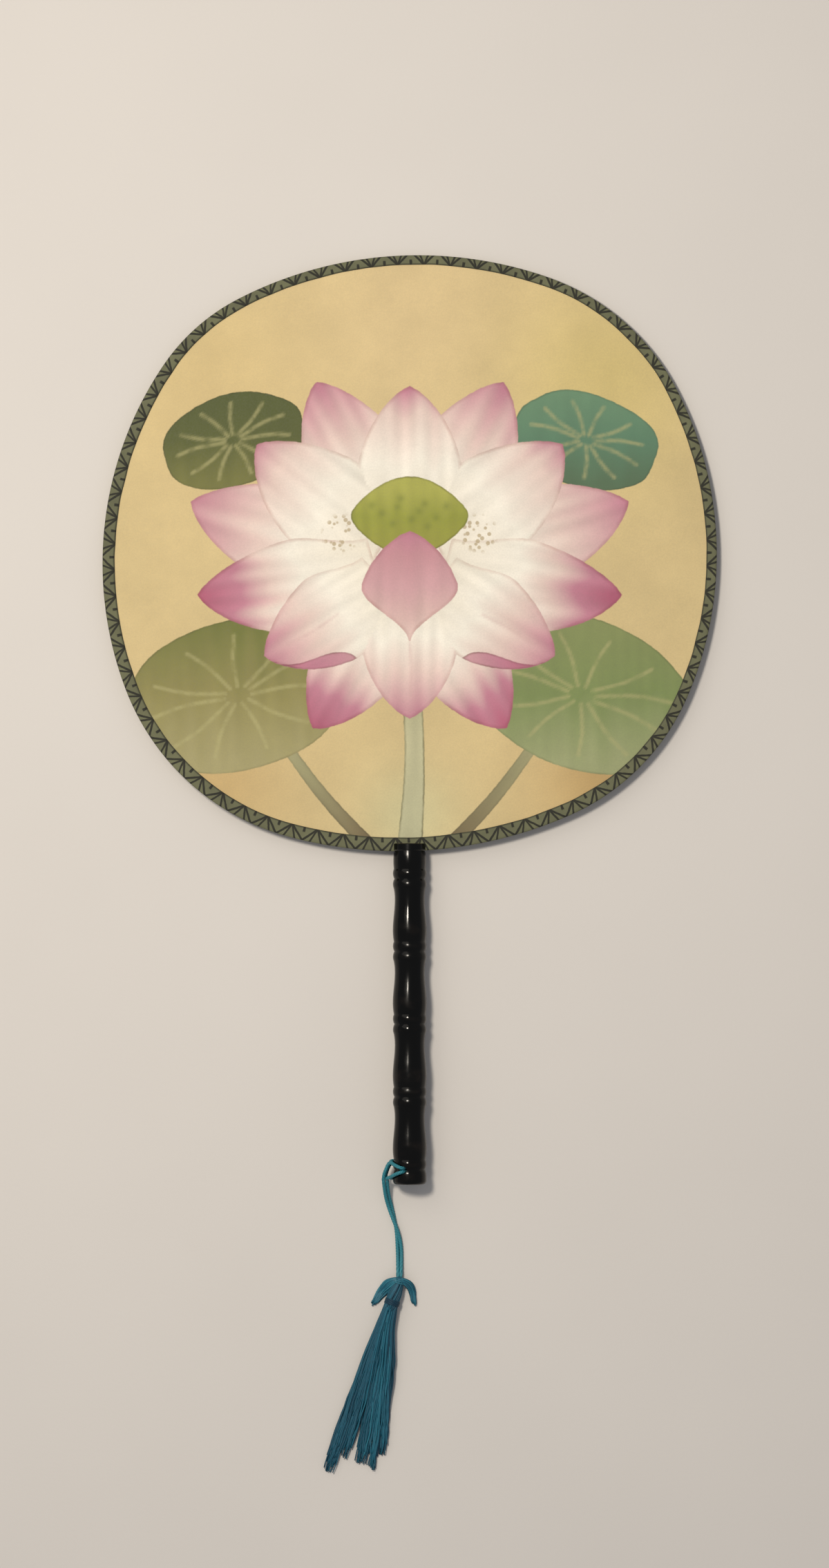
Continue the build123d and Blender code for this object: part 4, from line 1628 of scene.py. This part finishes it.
# ------------------------------------------------------------------ tassel
@dataclass
class Tassel:
    """The yarn tassel: folded head, thread round its neck, two tails and five loose locks."""

    yarn: bpy.types.Material
    pivot: Triple = (-4.25, -229.4129, 3.3)
    lean: float = 19.0
    head_radius: float = 2.75
    top_radius: float = 2.0
    head_length: float = 11.6
    head_yarns: int = 24
    yarn_radius: float = 0.30
    wrap_span: Pair = (7.75, 9.85)
    wrap_turns: float = 4.6
    wrap_radius: float = 0.25
    wrap_sink: float = 0.03       # how far the thread is drawn into the head
    knot_radius: float = 0.36
    tails: dict = field(default_factory=lambda: {
        "left": ((-0.6, 0.6), (-5.4, -2.4), (-10.1, -8.7), 44, 34),
        "right": ((0.6, 0.5), (4.6, -2.3), (6.1, -8.9), 26, 20)})
    tail_widths: dict = field(
        default_factory=lambda: {"left": (2.4, 5.6, 4.4, 2.0), "right": (2.2, 3.4, 2.9, 1.5)})
    locks: dict = field(default_factory=lambda: {
        "outer_left": (-28.2, -75.0, 4.6, 62), "inner_left": (-22.4, -69.5, 4.4, 50),
        "middle": (-15.6, -71.8, 4.8, 60), "inner_right": (-11.0, -74.3, 3.6, 46),
        "outer_right": (-6.9, -68.4, 3.4, 46)})
    twist: float = 55.0           # degrees that a lock's yarns turn about each other
    lock_root: float = 2.2        # how far up inside the head a lock starts
    lock_spread: float = 0.86     # share of the neck's width over which the roots stand
    lock_steps: int = 32
    lock_heights: tuple = ((0.0, 0.12, 0.5, 0.85, 1.05), (4.6, 4.6, 3.6, 2.3, 1.5))
    seed: int = 41

    def axes(self) -> tuple[Array, Array, Array, Array]:
        """The head's pivot, the way it points, the way to its right, and up.

        Returns:
            Four (3,) arrays.
        """
        lean = np.radians(self.lean)
        along = np.array([-np.sin(lean), -np.cos(lean), 0.0])
        return np.array(self.pivot), along, np.array([-along[1], along[0], 0.0]), np.array(
            [0.0, 0.0, 1.0])

    def reach(self, x: Array) -> Array:
        """Radius of the head at a distance x from the pivot: round at the top, swelling to the neck.

        Args:
            x: distances along the head, in millimetres.

        Returns:
            One radius for each.
        """
        dome = np.sqrt(np.clip(self.top_radius**2 - np.minimum(x, 0.0) ** 2, 0.0, None))
        swell = self.top_radius + (self.head_radius - self.top_radius) * smooth_step(
            0.0, 0.5 * self.head_length, x)
        return np.where(x < 0.0, dome, swell)

    def strands(self, name: str, lines: Array, radius: float | Array, tints: Array,
        stands_for: tuple[str, ...] = (),
                sides: int = 5) -> bpy.types.Object:
        """Yarns along many lines, in millimetres, as one piece.

        Args:
            name: the piece's name.
            lines: (n, k, 3) places.
            radius: one radius, or one for each place.
            tints: one tint for each yarn.
            stands_for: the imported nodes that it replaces.
            sides: sides of a yarn's section.

        Returns:
            The piece.
        """
        places, faces, facts = Tubes(lines * MM, radius * MM, sides=sides).surface()
        piece = make_piece(name, places, faces)
        set_values(piece, "tint", tints[facts[:, 0].astype(int)])
        set_values(piece, "ridge", np.ones(len(places)))
        return dress(piece, self.yarn, Body.TASSEL, stands_for)

    def wound(self, name: str, span: Pair, turns: float, reach: Pair, radius: float, tint: float,
              stands_for: tuple[str, ...] = ()) -> bpy.types.Object:
        """A twisted thread wound round the head: a helix over span whose radius runs through reach.

        Args:
            name: the piece's name.
            span: where it starts and ends along the head.
            turns: how many turns.
            reach: its radius about the head, first and last.
            radius: the thread's own.
            tint: its tint.
            stands_for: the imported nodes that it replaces.

        Returns:
            The piece.
        """
        pivot, along, right, up = self.axes()
        t = np.linspace(0.0, 1.0, 40 * int(np.ceil(turns)))
        angle = 2 * np.pi * turns * t + 0.6
        out = reach[0] + (reach[1] - reach[0]) * t
        x = span[0] + (span[1] - span[0]) * t
        line = (pivot + x[:, None] * along + (out * np.cos(angle))[:, None] * right
            + (out * np.sin(angle))[:, None] * up)
        places, faces, facts = Tubes(line[None] * MM, radius * MM, along, 10, 2, 0.2,
            6 * radius * MM).surface()
        piece = make_piece(name, places, faces)
        set_values(piece, "ridge", facts[:, 3])
        set_values(piece, "tint", np.full(len(places), tint))
        return dress(piece, self.yarn, Body.TASSEL, stands_for)

    def head(self) -> bpy.types.Object:
        """The yarns folded over the cord, side by side round a core of more of them.

        Yarn i runs along the head at angle 2 pi i / n plus a slow twist, its middle one yarn
        radius inside the head's own radius; a second and a third ring lie further in.

        Returns:
            The piece.
        """
        pivot, along, right, up = self.axes()
        rng = np.random.default_rng(self.seed)
        x = np.concatenate(
            [np.linspace(-1.95, 0.0, 7, endpoint=False), np.linspace(0.0, self.head_length + 1.2, 16)])
        rings = []
        for ring, count in ((0, self.head_yarns), (1, self.head_yarns - 6), (2, 10)):
            phase = 2 * np.pi * (np.arange(count) + 0.5 * ring) / count + rng.normal(0, 0.08, count)
            angle = phase[:, None] + 0.07 * x
            out = np.clip(self.reach(x) - self.yarn_radius * (1 + 1.6 * ring), 0.12, None)
            out = out * (1 + 0.04 * rng.normal(size=(count, 1)))
            out = out * (1 - 0.45 * smooth_step(self.head_length - 1.2, self.head_length + 1.2, x))
            rings.append(pivot + x[None, :, None] * along + (out * np.cos(angle))[..., None] * right
                         + (out * np.sin(angle))[..., None] * up)
        lines = np.concatenate(rings)
        tints = rng.uniform(0.15, 0.75, len(lines))
        return self.strands("tassel_head_yarns", lines, self.yarn_radius * 1.15, tints,
            ("tassel_head",), 6)

    def tail(self, side: str) -> bpy.types.Object:
        """One tail of the tie: a flat brush of yarns along a bent middle line.

        The middle line is the quadratic curve through the three places; a yarn keeps its share of
        the width, which runs through tail_widths, and the roots rise over the head.

        Args:
            side: left or right.

        Returns:
            The piece.
        """
        rng = np.random.default_rng(self.seed + (1 if side == "left" else 2))
        *places, low, high = self.tails[side]
        a, b, c = (np.array(p) for p in places)
        pivot = np.array(self.pivot[:2])
        t = np.linspace(0.0, 1.0, 15)[:, None]
        handle = 2 * b - 0.5 * (a + c)
        middle = (1 - t) ** 2 * a + 2 * t * (1 - t) * handle + t**2 * c + pivot
        way = unit(2 * (1 - t) * (handle - a) + 2 * t * (c - handle))
        left = np.stack([-way[:, 1], way[:, 0]], -1)
        share = np.concatenate([np.linspace(-1, 1, low), np.linspace(-0.9, 0.9, high)]) + rng.normal(
            0, 0.04, low + high)
        width = np.interp(t[:, 0], (0.0, 0.4, 0.7, 1.0), self.tail_widths[side])
        wave = 0.22 * np.sin(
            2 * np.pi * (rng.uniform(0.5, 1.3, (low + high, 1)) * t[:, 0]
                + rng.uniform(0, 1, (low + high, 1))))
        flat = middle[None] + ((share[:, None] * width * 0.44) + wave * t[:, 0])[..., None] * left
        longer = 1 - (0.10 * np.abs(share)[:, None, None] ** 2 + 0.05
            * rng.normal(size=(low + high, 1, 1))) * t[None] ** 2
        flat = pivot + (flat - pivot) * longer
        layer = np.repeat([0.0, 1.0], [low, high])[:, None]
        rise = 3.4 * (1 - smooth_step(0.05, 0.75, t[:, 0]))
        crown = 0.5 * (1 - share[:, None] ** 2)
        height = 0.38 + 0.5 * layer + rise * (0.75 + 0.25 * layer) + crown * (1 - t[:, 0])
        lines = np.concatenate([flat, np.clip(height, 0.36, None)[..., None]], -1)
        tints = rng.uniform(0.45, 1.0, low + high)
        return self.strands(f"tie_tail_{side}", lines, self.yarn_radius * 0.95, tints,
            (f"wrap_tail_{side}",), 5)

    def lock(self, index: int, name: str) -> bpy.types.Object:
        """One loose lock of the skirt.

        Yarn i keeps its place (u, v) in a disc that turns slowly by twist while the lock's oval
        section sinks from the head to the floor and widens to its tip; it ends where its own
        length does, and a slow wave that grows along it takes it off the straight.

        Args:
            index: its place from the left.
            name: the lock's name.

        Returns:
            The piece.
        """
        pivot, along, right, _ = self.axes()
        tip_x, tip_y, wide, count = self.locks[name]
        rng = np.random.default_rng(self.seed + 10 + index)
        slot = 2 * self.head_radius / len(self.locks)
        start = pivot + along * (self.head_length - self.lock_root) + right * (
            index - (len(self.locks) - 1) / 2) * slot * self.lock_spread
        run = np.array([self.pivot[0] + tip_x, self.pivot[1] + tip_y]) - start[:2]
        length = float(np.hypot(*run))
        way = run / length
        side = np.array([-way[1], way[0]])
        ends = np.clip(rng.normal(0.975, 0.04, count), 0.84, 1.04)
        t = np.linspace(0.0, 1.0, self.lock_steps)[None] * ends[:, None]
        angle = rng.uniform(0, 2 * np.pi, count)[:, None] + np.radians(self.twist) * (
            1 - smooth_step(0.0, 0.8, t))
        out = np.sqrt(rng.uniform(0, 1, count))[:, None]
        u, v = out * np.cos(angle), out * np.sin(angle)
        width = np.interp(t, (0.0, 0.12, 0.35, 0.6, 0.85, 1.0, 1.05),
                          (slot * 1.2, slot * 2.0, wide * 0.9, wide * 1.12, wide * 1.0, wide * 0.72,
                              wide * 0.6))
        height = np.interp(t, *self.lock_heights)
        level = np.interp(t, (0.0, 0.15, 0.5, 1.05), (self.pivot[2], 2.8, 1.9, 1.0))
        early = smooth_step(0.0, 0.4, t)[..., None]
        base = start[:2] + t[..., None] * length * (
            early * way + (1 - early) * (0.5 * way + 0.5 * along[:2]))
        slow = rng.uniform(0.7, 1.8, (count, 1)) * t + rng.uniform(0, 1, (count, 1))
        crimp = rng.uniform(4.0, 7.0, (count, 1)) * t + rng.uniform(0, 1, (count, 1))
        wave = 0.75 * t * np.sin(2 * np.pi * slow) + 0.13 * np.sqrt(t) * np.sin(2 * np.pi * crimp)
        stray = rng.normal(0, 0.45, (count, 1)) * t**3
        flat = base + (u * width * 0.5 + wave + stray)[..., None] * side
        lift = level + v * (height * 0.5 - self.yarn_radius) + 0.3 * wave
        lines = np.concatenate([flat, np.clip(lift, self.yarn_radius + 0.05, None)[..., None]], -1)
        # A yarn's tint is random and banded across the lock by clump, and partly painted light: the
        # higher a yarn lies at the lock's tip, the lighter it is made.
        clump = 0.5 + 0.5 * np.sin(3.0 * u[:, 0] + index)
        tints = np.clip(0.02 + 0.35 * rng.uniform(0, 1, count) + 0.35 * clump + 0.25 * v[:, -1], 0.0,
            1.0)
        radius = self.yarn_radius * np.interp(t, (0.0, 0.9, 1.0), (1.15, 1.15, 0.8))
        return self.strands(f"skirt_yarns_{name}", lines, radius, tints, (f"skirt_lock_{name}",))

    def build(self) -> list[bpy.types.Object]:
        """Every piece of the tassel.

        Returns:
            The pieces tied to the cord: the head, its tails, the neck's thread and the knot.
        """
        neck = self.head_radius + self.wrap_radius - self.wrap_sink
        pieces = [
            self.head(), self.tail("left"), self.tail("right"),
            # The neck thread's tint of 0.1 gives it the yarn's darkest colour: painted shade, so the
            # neck reads as a dark hollow.
            self.wound("neck_thread", self.wrap_span, self.wrap_turns, (neck, neck), self.wrap_radius,
                0.1, ("neck_wrap",)),
            self.wound("top_knot", (-1.1, 0.7), 2.4, (1.5, 2.2), self.knot_radius, 0.85)]
        for index, name in enumerate(self.locks):
            self.lock(index, name)
        return pieces


# ------------------------------------------------------------------ face
@dataclass
class SilkFace:
    """The two stretched sheets: the painted front and the plain back."""

    plane: FanPlane
    outline: FaceOutline
    painting: Painting
    paint: PaintedSilk = field(default_factory=PaintedSilk)
    inner_z: float = 0.92
    thickness: float = 0.2
    inset: float = 0.45
    front_cells: int = 298
    back_cells: int = 150
    slack: float = 0.16           # how far the taut silk swells off its plane

    def sheet(self, name: str, side: int, cells: int) -> tuple[bpy.types.Object, Array, Array]:
        """A closed thin sheet: a fine outer face, a rim, and a plain inner face.

        The outer face is the outline's disc grid at |z| = inner_z + thickness + swell, where
        swell = slack * ripple * (1 - r**6) keeps the edge flat; the inner one is a fan of
        triangles about the middle.

        Args:
            name: the piece's name.
            side: 1 for the front, -1 for the back.
            cells: cells along each side of the grid.

        Returns:
            The piece, and its vertices' places across and along, face-centred.
        """
        top = self.outline.disc(cells, self.inset)
        n = cells + 1
        index = np.arange(n * n).reshape(n, n)
        ring = np.concatenate([index[0, :-1], index[:-1, -1], index[-1, :0:-1], index[:0:-1, 0]])
        flat = np.vstack([top, top[ring], [[0.0, 0.0]]])
        reach = np.clip(np.hypot(flat[:, 0] / 125.0, flat[:, 1] / 121.0), 0.0, 1.0)
        swell = self.slack * ripple(flat[:, 0] / 26.0, flat[:, 1] / 30.0, 71, 5) * (1.0 - reach**6)
        z = self.inner_z + self.thickness + swell
        z[n * n:] = self.inner_z
        places = self.plane.lay(
            np.column_stack([flat[:, 0], flat[:, 1] + self.outline.centre_y, side * z]))
        low = n * n + np.arange(len(ring))
        following = np.roll(low, -1)
        rim = np.stack([ring, low, following, np.roll(ring, -1)], -1)
        fan = np.stack([np.full(len(ring), n * n + len(ring)), following, low], -1)
        faces = [np.vstack([grid_faces(n, n), rim]), fan]
        if side < 0:
            faces = [part[:, ::-1] for part in faces]
        return make_piece(name, places, faces), flat[:, 0], flat[:, 1]

    def build(self) -> list[bpy.types.Object]:
        """Both sheets, with the painting kept on the front and soaked faintly through to the back.

        Returns:
            The front sheet and the back one.
        """
        front, x, y = self.sheet("silk_front", 1, self.front_cells)
        opaque = np.ones((len(x), 1))
        set_values(front, "ground", np.hstack([self.painting.ground_colours(x, y), opaque]),
            "FLOAT_COLOR")
        for name, values in self.painting.layers(x, y).items():
            set_values(front, name, values, "FLOAT_COLOR")
        set_values(front, "veins", self.painting.strokes(x, y, LEAF_LINES), "FLOAT_COLOR")
        set_values(front, "contours", self.painting.strokes(x, y, PETAL_LINES), "FLOAT_COLOR")
        set_values(front, "stamens", self.painting.specks(x, y))
        dress(front, self.paint.material(self.painting.edge_span), Body.FAN,
            ("front_silk",))
        back, x, y = self.sheet("silk_back", -1, self.back_cells)
        soaked = self.painting.flattened(x, y, 4.0)
        set_values(back, "ground", np.hstack([soaked, np.ones((len(x), 1))]), "FLOAT_COLOR")
        dress(back, PlainSilk().material(self.paint), Body.FAN, ("back_silk",))
        edge, _, _ = self.outline.loop(self.inset, 720)
        return [front, back]


@dataclass
class EdgeTrim:
    """The woven trim folded over the rim, front flap to back flap."""

    plane: FanPlane
    outline: FaceOutline
    finish: BrocadeTrim = field(default_factory=BrocadeTrim)
    flaps: tuple[float, float, float, float] = (4.2, 3.9, 5.0, 5.6)      # right, top, left, bottom
    repeats: int = 72
    stations: int = 1440
    outside_rows: int = 18        # how many of the section's places are on its outside
    half: float = 1.49
    pocket: float = 1.14
    wall: float = 0.35

    def section(self) -> Array:
        """The folded section, outside first: rows of (fixed inset, share of the flap, z).

        Returns:
            (22, 3) rows.
        """
        h, p = self.half, self.pocket
        front = [(0.0, 1.0, h - 0.14), (-0.12, 1.0, h), (0.0, 0.75, h), (0.0, 0.5, h), (0.0, 0.25, h),
            (0.5, 0.0, h),
                 (0.15, 0.0, h - 0.15), (0.0, 0.0, h - 0.5), (0.0, 0.0, 0.35)]
        back = [(a, b, -z) for a, b, z in reversed(front)]
        return np.array(
            front + back + [(0.0, 1.0, -p), (self.wall, 0.0, -p), (self.wall, 0.0, p), (0.0, 1.0, p)])

    def build(self) -> bpy.types.Object:
        """Carry the section round the outline.

        At a place whose outward normal points at angle a the flap is the mean of the four sides'
        flaps weighted by the squares of cos a and sin a, plus a hand-cut wander of about 0.1 mm.

        Returns:
            The trim.
        """
        edge, out, run = self.outline.loop(0.0, self.stations)
        c, s = out[:, 0], out[:, 1]
        right, top, left, bottom = self.flaps
        flap = (np.where(c > 0, right, left) * c**2 + np.where(s > 0, top, bottom) * s**2)
        flap = flap + 0.12 * ripple(np.sin(2 * np.pi * run / run[-1]) * 26,
            np.cos(2 * np.pi * run / run[-1]) * 26, 12)
        rows = self.section()
        inset = rows[:, 0] + rows[:, 1] * flap[:, None]
        flat = edge[:, None] - out[:, None] * inset[..., None]
        z = np.broadcast_to(rows[:, 2], inset.shape)
        places = np.concatenate([flat + np.array([0.0, self.outline.centre_y]), z[..., None]], -1)
        faces = grid_faces(self.stations, len(rows), True, True)
        piece = make_piece("brocade_edge", self.plane.lay(places).reshape(-1, 3), [faces])
        whole = float(run[-1] + run[1])
        outside = np.arange(len(rows)) < self.outside_rows
        step = np.hypot(np.diff(inset, axis=1), np.diff(z, axis=1))
        across = np.concatenate([np.zeros((len(run), 1)), np.cumsum(step, 1)], 1)
        total = across[:, self.outside_rows - 1, None]
        across = np.where(outside, np.minimum(across, total - across), 0.0)
        self.map_strip(piece, run / whole * self.repeats, across)
        piece.data.shade_smooth()
        dress(piece, self.finish.material(whole / self.repeats), Body.FAN,
            ("edge_ribbon",))
        return piece

    def map_strip(self, piece: bpy.types.Object, along: Array, across: Array) -> None:
        """Give each face corner its place on the strip, running on past the strip's joint.

        Args:
            piece: the piece.
            along: each station's place along the strip, in repeats.
            across: (stations, rows) places across it, in millimetres.
        """
        count, rows = across.shape
        corners = np.empty(len(piece.data.loops), np.int32)
        piece.data.loops.foreach_get("vertex_index", corners)
        station, row = corners // rows, corners % rows
        u = along[station]
        u = np.where(self.last(corners, rows, count) & (station == 0), float(self.repeats), u)
        layer = piece.data.uv_layers.new(name="trim")
        layer.uv.foreach_set(
            "vector", np.stack([u, across[station, row] / 10.0], -1).astype(np.float32).ravel())

    @staticmethod
    def last(corners: Array, rows: int, count: int) -> Array:
        """For each corner, whether its face bridges the last station and the first.

        Args:
            corners: each face corner's vertex.
            rows: places in the section.
            count: stations.

        Returns:
            One truth for each corner.
        """
        station = (corners // rows).reshape(-1, 4)
        bridges = (station.max(1) == count - 1) & (station.min(1) == 0)
        return np.repeat(bridges, 4)


# ------------------------------------------------------------------ everything in order
def main() -> None:
    """Build the fan: camera, cord, tassel, face, its trim, handle and hoop."""
    logging.basicConfig(level=logging.INFO, format="%(message)s")
    plane = FanPlane.from_record(frame["record"])
    outline = FaceOutline()
    Studio().build()
    cord_finish = DyedYarn("turquoise_cord", (48, 142, 154), (10, 74, 92), (114, 182, 182)).material()
    yarn_finish = DyedYarn("teal_yarn", (18, 102, 124), (1, 44, 66), (62, 146, 160)).material()
    cord = DoubledCord(plane, cord_finish)
    strands = cord.build()
    tassel = Tassel(yarn_finish)
    tassel.build()
    SilkFace(plane, outline, Painting()).build()
    EdgeTrim(plane, outline).build()
    polish("handle", BlackLacquer().material(plane))
    polish("hoop_wire", DrawnWire().material())


if __name__ == "__main__":
    main()
